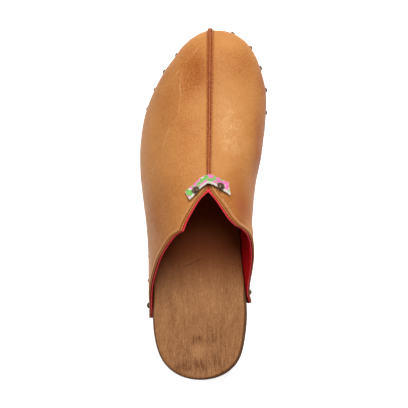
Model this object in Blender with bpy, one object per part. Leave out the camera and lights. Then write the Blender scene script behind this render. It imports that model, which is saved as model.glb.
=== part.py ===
"""A left clog: one carved wooden sole with a leather upper nailed around its side.

The model is in metres with +Z up. The toe points to +Y and the big toe's side is +X.
The shoe is measured in millimetres: a station is a distance from the back of the heel.
"""
import math
from collections import namedtuple

import bmesh
import bpy
import numpy as np
from mathutils import Vector

MM = 0.001
SIDES = {"lateral": -1.0, "medial": 1.0}

# Driving sizes, in millimetres.
WALL = 2.4  # leather and lining together
GAP = 0.3  # between two pieces that meet
EDGE_ROUND = 2.8  # radius of the sole's top edge
GROUND_ROUND = 2.0  # radius of the sole's bottom edge
SIDE_TAPER = 1.5  # how far the sole's side leans in towards the floor
MARGIN = 12.0  # leather that lies on the side of the sole
HEEL_CENTRE = 34.0  # station where the heel's round end has its centre
TOE_CENTRE = 216.0  # station where the toe's round end has its centre

# The seam: where it runs, and the ridge that the two turned-up edges make.
SEAM_AT_THROAT = 6.0
SEAM_AT_TOE = 7.6
THROAT = 143.0  # station of the throat's point
TOE_TIP = 263.3  # station of the leather's tip
RIDGE_HALF_AT_THROAT = 0.9
RIDGE_HALF_AT_TOE = 1.9
RIDGE_HIGH_AT_THROAT = 1.0
RIDGE_HIGH_AT_TOE = 2.0

# In front of this station the sections stop being straight across and fan round the toe.
FAN_START = 175.0
FAN_REACH = 60.0

Outline = namedtuple("Outline", "station lateral medial")
OUTLINE = (
    Outline(5.0, -18.8, 19.2),
    Outline(14.0, -28.2, 28.4),
    Outline(30.0, -34.2, 33.4),
    Outline(50.0, -36.0, 35.2),
    Outline(80.0, -35.1, 32.4),
    Outline(108.0, -35.7, 30.0),
    Outline(130.0, -38.1, 30.8),
    Outline(150.0, -40.3, 35.0),
    Outline(175.0, -41.0, 42.0),
    Outline(200.0, -38.0, 46.0),
    Outline(218.0, -31.5, 46.4),
    Outline(233.0, -23.6, 43.0),
    Outline(245.0, -14.2, 38.3),
    Outline(254.5, -4.4, 30.4),
)
HEEL_POINT = (0.0, 0.0)
TOE_POINT = (12.8, 261.0)

Level = namedtuple("Level", "station rim dish ground")
LEVELS = (
    Level(0.0, 45.0, 2.0, 0.0),
    Level(15.0, 44.6, 2.6, 0.0),
    Level(35.0, 44.0, 3.4, 0.0),
    Level(60.0, 42.8, 3.0, 0.0),
    Level(68.0, 42.2, 2.7, 9.0),
    Level(85.0, 40.4, 2.2, 15.5),
    Level(105.0, 37.4, 1.6, 17.0),
    Level(125.0, 33.4, 1.2, 13.5),
    Level(145.0, 29.6, 1.0, 5.6),
    Level(162.0, 27.4, 1.0, 0.0),
    Level(185.0, 26.2, 1.2, 0.0),
    Level(205.0, 26.6, 1.4, 0.0),
    Level(222.0, 28.2, 1.6, 1.6),
    Level(240.0, 30.8, 1.4, 6.0),
    Level(260.6, 34.4, 0.8, 12.5),
)

# Sections of the upper. A section leaves the sole's edge, swells past it up to its widest
# height, and then bends over to the crest. Fullness 2 is an ellipse, and more is squarer.
Section = namedtuple(
    "Section",
    "station crest swell_lateral swell_medial high_lateral high_medial full_lateral full_medial",
)
SECTIONS = (
    Section(46.0, 108.0, 0.0, 0.3, 8.0, 9.0, 1.75, 1.80),
    Section(64.0, 108.0, 0.4, 0.8, 8.0, 11.0, 1.75, 1.80),
    Section(73.0, 108.0, 0.9, 2.2, 8.0, 16.0, 1.78, 1.80),
    Section(82.0, 107.6, 1.2, 4.6, 8.0, 24.0, 1.80, 1.85),
    Section(95.0, 106.6, 1.4, 6.6, 10.0, 33.0, 1.85, 1.90),
    Section(108.0, 104.5, 1.5, 6.8, 12.0, 36.0, 1.85, 1.95),
    Section(125.0, 100.5, 1.5, 6.6, 12.0, 31.0, 1.90, 2.00),
    Section(143.0, 94.5, 1.7, 5.2, 13.0, 24.0, 2.00, 2.10),
    Section(165.0, 85.0, 1.9, 3.0, 13.0, 18.0, 2.10, 2.20),
    Section(187.0, 75.5, 1.5, 1.2, 12.0, 14.0, 2.10, 2.25),
    Section(210.0, 67.0, 0.8, 0.5, 10.0, 10.0, 2.15, 2.30),
    Section(235.0, 60.5, 0.4, 0.1, 8.0, 8.0, 2.20, 2.30),
    Section(263.3, 54.5, 0.3, 0.1, 7.0, 7.0, 2.30, 2.30),
)

# The throat's two edges, measured across from the shoe's middle, end in a corner each.
Edge = namedtuple("Edge", "station across")
THROAT_EDGE = {
    "lateral": (
        Edge(137.0, -1.6),
        Edge(128.0, -7.5),
        Edge(119.0, -12.4),
        Edge(113.0, -14.7),
    ),
    "medial": (
        Edge(137.0, 12.4),
        Edge(128.0, 18.9),
        Edge(122.0, 23.1),
        Edge(117.0, 28.2),
    ),
}

# From those corners the collar falls to the side of the sole: heights above the sole's edge.
Rise = namedtuple("Rise", "station height")
COLLAR = {
    "lateral": (
        Rise(109.0, 58.0),
        Rise(104.0, 53.2),
        Rise(96.0, 44.6),
        Rise(86.0, 33.2),
        Rise(76.0, 22.5),
        Rise(66.0, 12.2),
        Rise(57.0, 4.0),
        Rise(51.0, -1.0),
        Rise(46.5, -6.0),
    ),
    "medial": (
        Rise(114.0, 54.6),
        Rise(109.0, 46.8),
        Rise(102.0, 38.6),
        Rise(92.0, 28.6),
        Rise(82.0, 18.6),
        Rise(73.0, 9.6),
        Rise(66.0, 3.0),
        Rise(61.0, -1.5),
        Rise(58.0, -6.0),
    ),
}
END_LIFT = 2.4  # the medial end's free corner stands this far off the sole
END_LIFT_START = 66.0
END_LIFT_LENGTH = 8.0
END_LIFT_BEND = 1.5
LOW_PART = 0.3  # share of a section's climb that lies below its widest height

# How finely the upper's and the sole's faces are laid out.
BAND_ROWS = 2  # rows of faces on the side of the sole
ROWS = 13  # rows of faces from the nailed edge to the top line
TOE_COLUMNS = 15
TOE_COLUMNS_END = 202.0
VAMP_STATIONS = (193.0, 184.0, 175.0, 167.0, 159.0, 151.0, THROAT)
THROAT_COLUMNS = 6
COLLAR_COLUMNS = 15
SOLE_STATIONS = (42, 51, 60, 64, 68, 76, 85, 95, 105, 115, 125, 135, 145, 153, 162, 173, 185, 195, 205)
SOLE_END_COLUMNS = 8

# The ridge across the seam: shares of its width, with shares of its height.
RIDGE_PROFILE = ((0.12, 0.85), (0.32, 1.0), (0.5, 0.8), (0.68, 1.0), (0.88, 0.85))

# A bent band of leather lies over the seam's end, in front of the throat's point. A reach is
# a distance across from the seam, less than zero on the lateral side.
PATCH_FRONT = 149.8  # station of its middle where it crosses the seam
PATCH_BEND = 5.0  # how round it turns there
PATCH_SLOPE = {"lateral": 1.08, "medial": 0.64}
PATCH_THICK = 1.6
PATCH_CURL = 2.2  # how far its rear edge lifts
PATCH_CURL_FROM = 0.35  # the share of its width where the lift starts
PATCH_TENT = 5.5  # half the width over which the seam's ridge lifts it
PATCH_SLANT = {"lateral": 1.9, "medial": -5.8}  # an end cut's slant off square across the band
PATCH_COLUMNS = 20
PATCH_ROWS = 4
Band = namedtuple("Band", "reach wide")
PATCH_BAND = (
    Band(-15.0, 7.4),
    Band(-10.0, 6.3),
    Band(0.0, 7.0),
    Band(8.0, 6.9),
    Band(14.4, 7.8),
)

# Tacks go round the side, closer together at the toe than further back.
TOE_TACKS = {"lateral": 5, "medial": 6}
TOE_TACK_SPACING = {"lateral": 15.5, "medial": 17.0}
REAR_TACK_SPACING = 19.0
TACK_ABOVE_MARGIN = 5.5
TACK_RADIUS = 2.4
TACK_HIGH = 1.7
LAST_TACK = {"lateral": 56.0, "medial": 66.0}
RIVET_RADIUS = 3.1
RIVET_HIGH = 1.7
RIVET_REACH = {"lateral": -10.0, "medial": 9.0}
RIVET_SHARE = -0.25
RIVET_SEAT = 1.0  # clears the bend of the patch under the rivet's rim


def remove_everything():
    for item in list(bpy.data.objects):
        bpy.data.objects.remove(item, do_unlink=True)


# ------------------------------------------------------------------ curves through tables


def monotone(stations, values):
    """A smooth curve through the rows of a table that never overshoots them."""
    at = np.array(stations, float)
    value = np.array(values, float)
    step = np.diff(at)
    slope = np.diff(value) / step
    tangent = np.concatenate([slope[:1], np.zeros(len(at) - 2), slope[-1:]])
    for i in range(1, len(at) - 1):
        if slope[i - 1] * slope[i] > 0.0:
            before = 2.0 * step[i] + step[i - 1]
            after = step[i] + 2.0 * step[i - 1]
            tangent[i] = (before + after) / (before / slope[i - 1] + after / slope[i])

    def curve(where):
        where = np.clip(where, at[0], at[-1])
        i = np.clip(np.searchsorted(at, where) - 1, 0, len(step) - 1)
        t = (where - at[i]) / step[i]
        rise = t * t * (3.0 - 2.0 * t)
        leave = t * (1.0 - t) ** 2 * step[i] * tangent[i]
        arrive = t * t * (1.0 - t) * step[i] * tangent[i + 1]
        return value[i] + rise * (value[i + 1] - value[i]) + leave - arrive

    return curve


def by_station(table):
    """A smooth curve for each named column of a table whose first column is the station."""
    stations = [row.station for row in table]
    columns = table[0]._fields[1:]
    return {name: monotone(stations, [getattr(row, name) for row in table]) for name in columns}


def closed_spline(knots, per_span):
    """Points along a closed curve with no kink through the knots."""
    knots = np.array(knots, float)
    count = len(knots)
    following = np.roll(knots, -1, axis=0)
    span = np.linalg.norm(following - knots, axis=1)
    system = np.zeros((count, count))
    right = np.zeros((count, 2))
    for i in range(count):
        system[i, i - 1] += span[i - 1] / 6.0
        system[i, i] += (span[i - 1] + span[i]) / 3.0
        system[i, (i + 1) % count] += span[i] / 6.0
        right[i] = (following[i] - knots[i]) / span[i] - (knots[i] - knots[i - 1]) / span[i - 1]
    bend = np.linalg.solve(system, right)
    t = np.linspace(0.0, 1.0, per_span, endpoint=False)[:, None]
    points = []
    for i in range(count):
        a, b = knots[i], following[i]
        m, n = bend[i] * span[i] ** 2 / 6.0, bend[(i + 1) % count] * span[i] ** 2 / 6.0
        points.append((1.0 - t) * a + t * b + ((1.0 - t) ** 3 - (1.0 - t)) * m + (t**3 - t) * n)
    return np.concatenate(points)


def sole_outline():
    """The sole's outline from above, from the heel up the lateral side and round the toe."""
    knots = [HEEL_POINT]
    knots += [(row.lateral, row.station) for row in OUTLINE]
    knots += [TOE_POINT]
    knots += [(row.medial, row.station) for row in reversed(OUTLINE)]
    return closed_spline(knots, 60)


OUTLINE_LOOP = sole_outline()
LEVEL = by_station(LEVELS)
SECTION = by_station(SECTIONS)
PATCH_WIDE = monotone([row.reach for row in PATCH_BAND], [row.wide for row in PATCH_BAND])


def outward_of(loop):
    """The outward direction at each point of an outline that runs clockwise."""
    along = np.roll(loop, -1, axis=0) - np.roll(loop, 1, axis=0)
    along /= np.linalg.norm(along, axis=1)[:, None]
    return np.stack([-along[:, 1], along[:, 0]], axis=1)


def outline_halves():
    """The outline's two sides, each from the back of the heel to the tip of the toe."""
    loop = np.roll(OUTLINE_LOOP, -int(np.argmin(OUTLINE_LOOP[:, 1])), axis=0)
    toe = int(np.argmax(loop[:, 1]))
    medial = np.vstack([loop[toe:], loop[:1]])[::-1]
    return {"lateral": loop[: toe + 1], "medial": medial}


HALVES = outline_halves()
HEEL_END = float(HALVES["lateral"][0, 1])
TOE_END = float(HALVES["lateral"][-1, 1])


def sole_across(side, station):
    """How far across the sole's edge is on one side at a station."""
    half = HALVES[side]
    return float(np.interp(station, half[:, 1], half[:, 0]))


# ------------------------------------------------------------------ meshes and materials


def material(name, colour, roughness):
    made = bpy.data.materials.new(name)
    made.use_nodes = True
    shader = made.node_tree.nodes["Principled BSDF"]
    shader.inputs["Base Color"].default_value = (*colour, 1.0)
    shader.inputs["Roughness"].default_value = roughness
    return made


def add_object(name, mesh_builder, finish, parent):
    """Turn a filled bmesh, in millimetres, into a named object in metres."""
    bmesh.ops.remove_doubles(mesh_builder, verts=mesh_builder.verts, dist=0.001)
    bmesh.ops.recalc_face_normals(mesh_builder, faces=mesh_builder.faces)
    bmesh.ops.scale(mesh_builder, verts=mesh_builder.verts, vec=(MM, MM, MM))
    mesh = bpy.data.meshes.new(name)
    mesh_builder.to_mesh(mesh)
    mesh_builder.free()
    mesh.shade_smooth()
    mesh.set_sharp_from_angle(angle=math.radians(40.0))
    mesh.materials.append(finish)
    made = bpy.data.objects.new(name, mesh)
    bpy.context.scene.collection.objects.link(made)
    made.parent = parent
    return made


def add_grid(shell, grid):
    """Add a grid of points and the faces between them, and give back its vertices."""
    verts = [[shell.verts.new(point) for point in line] for line in grid]
    for line, following in zip(verts, verts[1:]):
        for a, b, c, d in zip(line, line[1:], following[1:], following):
            shell.faces.new((a, b, c, d))
    return verts


def bridge(shell, one, other):
    """Faces between two rows of vertices of the same length."""
    for a, b, c, d in zip(one, one[1:], other[1:], other):
        shell.faces.new((a, b, c, d))


# ------------------------------------------------------------------ sole


def sole_stations():
    """Stations from heel to toe, closer together round both ends."""
    ends = np.sin(np.linspace(0.0, math.pi / 2.0, SOLE_END_COLUMNS + 1))
    heel = HEEL_CENTRE - (HEEL_CENTRE - HEEL_END) * ends[::-1]
    toe = TOE_CENTRE + (TOE_END - TOE_CENTRE) * ends
    return [*heel, *SOLE_STATIONS, *toe]


def sole_ring_points(side, station):
    """Points round the sole's section, from its top middle to its bottom middle."""
    middle_station = min(max(station, HEEL_CENTRE), TOE_CENTRE)
    lateral = sole_across("lateral", middle_station)
    medial = sole_across("medial", middle_station)
    middle = np.array([0.5 * (lateral + medial), middle_station])
    edge = np.array([sole_across(side, station), station])
    inward = (middle - edge) / np.linalg.norm(middle - edge)

    def point(place, height):
        return Vector((place[0], place[1], height))

    points = []
    top_edge = edge + inward * EDGE_ROUND
    for share in (0.0, 0.35, 0.7):
        place = middle + share * (top_edge - middle)
        height = LEVEL["rim"](place[1]) - LEVEL["dish"](place[1]) * (1.0 - share**2)
        points.append(point(place, height))
    for turn in (0.0, 30.0, 60.0, 90.0):
        back = 1.0 - math.sin(math.radians(turn))
        drop = 1.0 - math.cos(math.radians(turn))
        place = edge + inward * EDGE_ROUND * back
        points.append(point(place, LEVEL["rim"](place[1]) - EDGE_ROUND * drop))
    points.append(point(edge, LEVEL["rim"](station) - EDGE_ROUND - MARGIN - 1.0))
    foot = edge + inward * SIDE_TAPER
    for turn in (0.0, 45.0, 90.0):
        back = 1.0 - math.cos(math.radians(turn))
        lift = 1.0 - math.sin(math.radians(turn))
        place = foot + inward * GROUND_ROUND * back
        points.append(point(place, LEVEL["ground"](place[1]) + GROUND_ROUND * lift))
    bottom_edge = foot + inward * GROUND_ROUND
    for share in (0.6, 0.0):
        place = middle + share * (bottom_edge - middle)
        points.append(point(place, LEVEL["ground"](place[1])))
    return points


def add_sole(finish, parent):
    stations = sole_stations()
    sections = [sole_ring_points("lateral", station) for station in stations]
    sections += [sole_ring_points("medial", station) for station in reversed(stations)]
    shell = bmesh.new()
    add_grid(shell, sections)
    return add_object("sole", shell, finish, parent)


# ------------------------------------------------------------------ the upper's own surface


def seam_across(station):
    share = (station - THROAT) / (TOE_TIP - THROAT)
    return SEAM_AT_THROAT + share * (SEAM_AT_TOE - SEAM_AT_THROAT)


def ridge_half(station):
    share = min(max((station - THROAT) / (TOE_TIP - THROAT), 0.0), 1.0)
    return RIDGE_HALF_AT_THROAT + share * (RIDGE_HALF_AT_TOE - RIDGE_HALF_AT_THROAT)


def ridge_high(station):
    share = min(max((station - THROAT) / (TOE_TIP - THROAT), 0.0), 1.0)
    return RIDGE_HIGH_AT_THROAT + share * (RIDGE_HIGH_AT_TOE - RIDGE_HIGH_AT_THROAT)


def leather_foot(side):
    """The leather's foot in plan, by distance from the seam round the toe."""
    loop = OUTLINE_LOOP + outward_of(OUTLINE_LOOP) * (GAP + WALL)
    beside = np.where(loop[:, 1] > TOE_CENTRE, abs(loop[:, 0] - SEAM_AT_TOE), np.inf)
    loop = np.roll(loop, -int(np.argmin(beside)), axis=0)
    loop = loop[::-1] if side == "lateral" else loop
    loop = loop[: len(loop) // 2]
    steps = np.linalg.norm(np.diff(loop, axis=0), axis=1)
    runs = np.concatenate([[0.0], np.cumsum(steps)])
    return {"run": runs, "across": loop[:, 0], "station": loop[:, 1]}


FOOT = {side: leather_foot(side) for side in SIDES}


def run_at(side, station):
    """The distance along the leather's foot from the seam to a station behind the toe."""
    foot = FOOT[side]
    behind = foot["station"] <= TOE_CENTRE
    return float(np.interp(-station, -foot["station"][behind], foot["run"][behind]))


def foot_at(side, run):
    """The foot's place and its outward direction at a distance from the seam."""
    foot = FOOT[side]

    def place(where):
        across = np.interp(where, foot["run"], foot["across"])
        return np.array([across, np.interp(where, foot["run"], foot["station"])])

    along = place(run + 0.5) - place(run - 0.5)
    along /= np.linalg.norm(along)
    outward = np.array([along[1], -along[0]]) * -SIDES[side]
    return place(run), outward


def spine_station(station):
    """The station on the seam that a section leads to."""
    if station <= FAN_START:
        return station
    return FAN_START + FAN_REACH * (1.0 - math.exp((FAN_START - station) / FAN_REACH))


def end_lift(side, station):
    if side == "lateral" or station > END_LIFT_START:
        return 0.0
    return END_LIFT * ((END_LIFT_START - station) / END_LIFT_LENGTH) ** END_LIFT_BEND


def last_points(side, run, climbs):
    """Points up one section of the leather's outer face.

    A climb of -1 is the leather's lower edge, 0 is the sole's edge and 1 is the crest.
    """
    climbs = np.atleast_1d(climbs)
    foot, outward = foot_at(side, run)
    station = foot[1]
    spine = spine_station(station)
    crest = np.array([seam_across(spine) + SIDES[side] * ridge_half(spine), spine])
    reach = np.linalg.norm(crest - foot)
    inward = (crest - foot) / reach
    edge = LEVEL["rim"](station) - EDGE_ROUND
    swell = SECTION["swell_" + side](station)
    widest = edge + SECTION["high_" + side](station)
    power = 2.0 / SECTION["full_" + side](station)

    low = np.clip(climbs / LOW_PART, 0.0, 1.0)
    turn = np.clip((climbs - LOW_PART) / (1.0 - LOW_PART), 0.0, 1.0) * math.pi / 2.0
    over = 1.0 - np.cos(turn) ** power
    inset = -swell * np.sin(low * math.pi / 2.0) + (reach + swell) * over
    plan = foot[None, :] + inset[:, None] * inward[None, :]
    top = SECTION["crest"](plan[:, 1])
    height = edge + low * (widest - edge) + (top - widest) * np.sin(turn) ** power
    height = np.where(climbs < 0.0, edge + climbs * MARGIN, height)
    lift = end_lift(side, station) * np.clip(climbs + 1.0, 0.0, 1.0)
    plan = plan + lift[:, None] * outward[None, :]
    return np.column_stack([plan, height])


def throat_across(side, station):
    rows = THROAT_EDGE[side]
    start = seam_across(THROAT) + SIDES[side] * ridge_half(THROAT)
    stations = [row.station for row in reversed(rows)] + [THROAT]
    across = [row.across for row in reversed(rows)] + [start]
    return float(monotone(stations, across)(station))


def throat_climb(side, station):
    """The climb at which a section behind the throat's point meets the throat's edge."""
    climbs = np.linspace(LOW_PART, 1.0, 400)
    points = last_points(side, run_at(side, station), climbs)
    inwards = -SIDES[side] * points[:, 0]
    return float(np.interp(-SIDES[side] * throat_across(side, station), inwards, climbs))


def corner_height(side):
    """How high the corner between throat and collar stands above the sole's edge."""
    corner = THROAT_EDGE[side][-1].station
    point = last_points(side, run_at(side, corner), throat_climb(side, corner))[0]
    return point[2] - (LEVEL["rim"](corner) - EDGE_ROUND)


def collar_heights(side):
    rows = COLLAR[side]
    stations = [row.station for row in reversed(rows)] + [THROAT_EDGE[side][-1].station]
    return monotone(stations, [row.height for row in reversed(rows)] + [corner_height(side)])


COLLAR_HEIGHT = {side: collar_heights(side) for side in SIDES}


def top_climb(side, station):
    """The climb at which the leather ends, for any station."""
    if station >= THROAT:
        return 1.0
    if station >= THROAT_EDGE[side][-1].station:
        return throat_climb(side, station)
    climbs = np.linspace(-1.0, 1.0, 800)
    points = last_points(side, run_at(side, station), climbs)
    height = LEVEL["rim"](station) - EDGE_ROUND + COLLAR_HEIGHT[side](station)
    return float(np.interp(height, points[:, 2], climbs))


def even_climbs(side, run, lowest, highest, rows):
    """Climbs that are evenly spaced along the leather."""
    climbs = np.linspace(lowest, highest, 500)
    points = last_points(side, run, climbs)
    steps = np.linalg.norm(np.diff(points, axis=0), axis=1)
    length = np.concatenate([[0.0], np.cumsum(steps)])
    return np.interp(np.linspace(0.0, length[-1], rows + 1), length, climbs)


def column(side, run):
    """Points and outward directions up one section, from the nailed edge to the top line."""
    station = foot_at(side, run)[0][1]
    highest = 1.0 if run < run_at(side, THROAT) else top_climb(side, station)
    if highest > 0.05:
        band = np.linspace(-1.0, 0.0, BAND_ROWS + 1)
        free = even_climbs(side, run, 0.0, highest, ROWS - BAND_ROWS)
        climbs = np.concatenate([band, free[1:]])
    else:
        climbs = even_climbs(side, run, -1.0, highest, ROWS)
    points = last_points(side, run, climbs)
    step = 0.02
    up = last_points(side, run, np.minimum(climbs + step, 1.0))
    up = up - last_points(side, run, np.maximum(climbs - step, -1.0))
    along = last_points(side, run + 0.4, climbs) - last_points(side, run - 0.4, climbs)
    outward = np.cross(up, along) * SIDES[side]
    outward /= np.linalg.norm(outward, axis=1)[:, None]
    return points, outward


def column_runs(side):
    """Where the sections stand along the leather's foot, from the seam to the collar's end."""
    runs = list(np.linspace(RIDGE_HALF_AT_TOE, run_at(side, TOE_COLUMNS_END), TOE_COLUMNS))
    corner = THROAT_EDGE[side][-1].station
    end = COLLAR[side][-1].station
    behind_throat = np.linspace(THROAT, corner, THROAT_COLUMNS + 1)[1:]
    share = np.linspace(0.0, 1.0, COLLAR_COLUMNS + 1)[1:]
    behind_corner = corner + (end - corner) * (0.55 * share + 0.45 * share**2)
    stations = [*VAMP_STATIONS, *behind_throat, *behind_corner]
    return runs + [run_at(side, station) for station in stations]


# ------------------------------------------------------------------ upper


def ridge_points(lateral, medial, outward, station):
    """The ridge's raised points between two matching points at its feet."""
    high = ridge_high(station)
    raised = []
    for share, lift in RIDGE_PROFILE:
        raised.append(lateral + share * (medial - lateral) + lift * high * outward)
    return raised


def add_upper(finish, parent):
    shell = bmesh.new()
    outer = {}
    inner = {}
    outward = {}
    for side in SIDES:
        columns = [column(side, run) for run in column_runs(side)]
        outward[side] = [directions for points, directions in columns]
        outer[side] = add_grid(shell, [points for points, directions in columns])
        inner[side] = add_grid(shell, [p - d * WALL for p, d in columns])
        bridge(shell, [line[0] for line in outer[side]], [line[0] for line in inner[side]])
        bridge(shell, outer[side][-1], inner[side][-1])
    throat = TOE_COLUMNS + len(VAMP_STATIONS) - 1
    for side in SIDES:
        tops = [line[-1] for line in outer[side][throat:]]
        bridge(shell, tops, [line[-1] for line in inner[side][throat:]])

    def seam_path(columns):
        return list(columns[0]) + [line[-1] for line in columns[1 : throat + 1]]

    lateral = seam_path(outer["lateral"])
    medial = seam_path(outer["medial"])
    directions = np.array(seam_path(outward["lateral"])) + np.array(seam_path(outward["medial"]))
    directions[:, 0] = 0.0
    strips = [lateral]
    raised = []
    for left, right, direction in zip(lateral, medial, directions):
        up = Vector(direction).normalized()
        points = ridge_points(left.co, right.co, up, left.co.y)
        raised.append([shell.verts.new(point) for point in points])
    strips += [[points[i] for points in raised] for i in range(len(RIDGE_PROFILE))]
    strips.append(medial)
    for one, other in zip(strips, strips[1:]):
        bridge(shell, one, other)
    inside = (seam_path(inner["lateral"]), seam_path(inner["medial"]))
    bridge(shell, *inside)
    for end in (0, -1):
        rim = [strip[end] for strip in strips]
        shell.faces.new(rim + [inside[1][end], inside[0][end]])
    return add_object("upper", shell, finish, parent)


# ------------------------------------------------------------------ patch


def upper_height(across, station):
    """The height of the leather's outer face above a place near the throat."""
    seam = seam_across(station)
    side = "medial" if across > seam else "lateral"
    climbs = np.linspace(LOW_PART, 1.0, 200)
    points = last_points(side, run_at(side, station), climbs)
    towards_seam = -SIDES[side] * points[:, 0]
    return float(np.interp(-SIDES[side] * across, towards_seam, points[:, 2]))


def on_upper(across, station, lift):
    """A point at a distance off the leather's outer face."""
    step = 1.0
    rise_across = upper_height(across + step, station) - upper_height(across - step, station)
    rise_along = upper_height(across, station + step) - upper_height(across, station - step)
    outward = Vector((-rise_across, -rise_along, 2.0 * step)).normalized()
    return Vector((across, station, upper_height(across, station))) + outward * float(lift)


def patch_middle(reach):
    """The patch's middle line in plan."""
    side = "lateral" if reach < 0.0 else "medial"
    back = PATCH_SLOPE[side] * (math.hypot(reach, PATCH_BEND) - PATCH_BEND)
    return np.array([seam_across(PATCH_FRONT) + reach, PATCH_FRONT - back])


def patch_lift(across, share):
    """How far the patch's underside stands off the leather; share -0.5 is its rear edge."""
    away = (across - seam_across(PATCH_FRONT)) / PATCH_TENT
    tent = (ridge_high(PATCH_FRONT) + GAP) * math.exp(-(away**2))
    lifted = max(PATCH_CURL_FROM - share, 0.0) / (PATCH_CURL_FROM + 0.5)
    return GAP + tent + PATCH_CURL * lifted**2


def patch_point(reach, share, rise):
    """A point of the patch, at a rise above its underside."""
    along = patch_middle(reach + 0.1) - patch_middle(reach - 0.1)
    along /= np.linalg.norm(along)
    side, end = ("lateral", PATCH_BAND[0]) if reach < 0.0 else ("medial", PATCH_BAND[-1])
    slant = PATCH_SLANT[side] * (reach / end.reach) ** 4
    aside = np.array([-along[1], along[0]]) * PATCH_WIDE(reach) + along * slant
    across, station = patch_middle(reach) + aside * share
    return on_upper(across, station, patch_lift(across, share) + rise)


def patch_seat(reach, share, rise):
    """A place on top of the patch, and the direction out of it."""
    ahead = patch_point(reach, share + 0.05, PATCH_THICK) - patch_point(reach, share - 0.05, PATCH_THICK)
    aside = patch_point(reach + 0.4, share, PATCH_THICK) - patch_point(reach - 0.4, share, PATCH_THICK)
    outward = aside.cross(ahead).normalized()
    return patch_point(reach, share, PATCH_THICK) + outward * rise, outward


def add_patch(finish, parent):
    reaches = np.linspace(PATCH_BAND[0].reach, PATCH_BAND[-1].reach, PATCH_COLUMNS + 1)
    shares = np.linspace(-0.5, 0.5, PATCH_ROWS + 1)
    shell = bmesh.new()
    faces = []
    for rise in (0.0, PATCH_THICK):
        grid = [[patch_point(reach, share, rise) for share in shares] for reach in reaches]
        faces.append(add_grid(shell, grid))
    under, over = faces
    for end in (0, -1):
        bridge(shell, under[end], over[end])
        bridge(shell, [row[end] for row in under], [row[end] for row in over])
    return add_object("throat_patch", shell, finish, parent)


# ------------------------------------------------------------------ tacks and rivets


def dome_mesh(name, radius, high, sides, finish):
    """A domed head whose flat face lies on its own floor."""
    shell = bmesh.new()
    rings = []
    for reach, rise in ((1.0, 0.0), (1.0, 0.22), (0.78, 0.72), (0.4, 0.95)):
        ring = []
        for i in range(sides):
            turn = 2.0 * math.pi * i / sides
            x, y = reach * radius * math.cos(turn), reach * radius * math.sin(turn)
            ring.append(shell.verts.new((x, y, rise * high)))
        rings.append(ring)
    for ring, following in zip(rings, rings[1:]):
        bridge(shell, ring + ring[:1], following + following[:1])
    top = shell.verts.new((0.0, 0.0, high))
    for a, b in zip(rings[-1], rings[-1][1:] + rings[-1][:1]):
        shell.faces.new((a, b, top))
    shell.faces.new(rings[0])
    bmesh.ops.recalc_face_normals(shell, faces=shell.faces)
    bmesh.ops.scale(shell, verts=shell.verts, vec=(MM, MM, MM))
    mesh = bpy.data.meshes.new(name)
    shell.to_mesh(mesh)
    shell.free()
    mesh.shade_smooth()
    mesh.set_sharp_from_angle(angle=math.radians(50.0))
    mesh.materials.append(finish)
    return mesh


def add_head(name, mesh, place, outward, parent):
    """Stand a domed head on a place, given in millimetres, facing outward."""
    made = bpy.data.objects.new(name, mesh)
    bpy.context.scene.collection.objects.link(made)
    made.rotation_mode = "QUATERNION"
    made.rotation_quaternion = Vector(outward).to_track_quat("Z", "Y")
    made.location = Vector(place) * MM
    made.parent = parent
    return made


def add_rivets(finish, parent):
    mesh = dome_mesh("patch_rivet", RIVET_RADIUS, RIVET_HIGH, 12, finish)
    for side, reach in RIVET_REACH.items():
        place, outward = patch_seat(reach, RIVET_SHARE, RIVET_SEAT)
        add_head("patch_rivet_" + side, mesh, place, outward, parent)


def tack_runs(side):
    """The tacks' distances from the seam."""
    runs = [TOE_TACK_SPACING[side] * (i + 1) for i in range(TOE_TACKS[side])]
    rest = run_at(side, LAST_TACK[side]) - runs[-1]
    count = round(rest / REAR_TACK_SPACING)
    return runs + [runs[-1] + rest * (i + 1) / count for i in range(count)]


def add_tacks(finish, parent):
    mesh = dome_mesh("tack", TACK_RADIUS, TACK_HIGH, 8, finish)
    number = 0
    for side in SIDES:
        for run in tack_runs(side):
            number += 1
            foot, outward = foot_at(side, run)
            height = LEVEL["rim"](foot[1]) - EDGE_ROUND - MARGIN + TACK_ABOVE_MARGIN
            place = (*(foot + outward * GAP), height)
            add_head(f"tack_{number:02d}", mesh, place, (*outward, 0.0), parent)


# ------------------------------------------------------------------ the whole shoe


def stand_on_origin(origin):
    """Move the whole shoe so that the middle of its footprint is the origin."""
    bpy.context.view_layer.update()
    corners = []
    for item in bpy.data.objects:
        if item.type == "MESH":
            corners += [item.matrix_world @ Vector(corner) for corner in item.bound_box]
    across = [corner.x for corner in corners]
    along = [corner.y for corner in corners]
    origin.location.x = -0.5 * (min(across) + max(across))
    origin.location.y = -0.5 * (min(along) + max(along))


def main():
    remove_everything()
    origin = bpy.data.objects.new("shoe", None)
    bpy.context.scene.collection.objects.link(origin)
    wood = material("wood", (0.34, 0.16, 0.07), 0.6)
    leather = material("leather", (0.58, 0.27, 0.10), 0.5)
    patch = material("patch", (0.60, 0.30, 0.40), 0.6)
    bronze = material("bronze", (0.10, 0.07, 0.05), 0.35)
    bronze.node_tree.nodes["Principled BSDF"].inputs["Metallic"].default_value = 0.9
    add_sole(wood, origin)
    add_upper(leather, origin)
    add_patch(patch, origin)
    add_rivets(bronze, origin)
    add_tacks(bronze, origin)
    stand_on_origin(origin)


main()
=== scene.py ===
"""Looks for a left clog: leather nailed round a wooden sole, with a raised seam over the toe.

The shoe is measured in millimetres in its own plan: a station is a distance from the back of
the heel, and across is positive towards the big toe's side. Pieces are built in millimetres
and moved into the frame, in metres, at the end.
"""
import math
from collections import namedtuple

import bmesh
import bpy
import numpy as np
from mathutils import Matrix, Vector
from mathutils import noise


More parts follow.
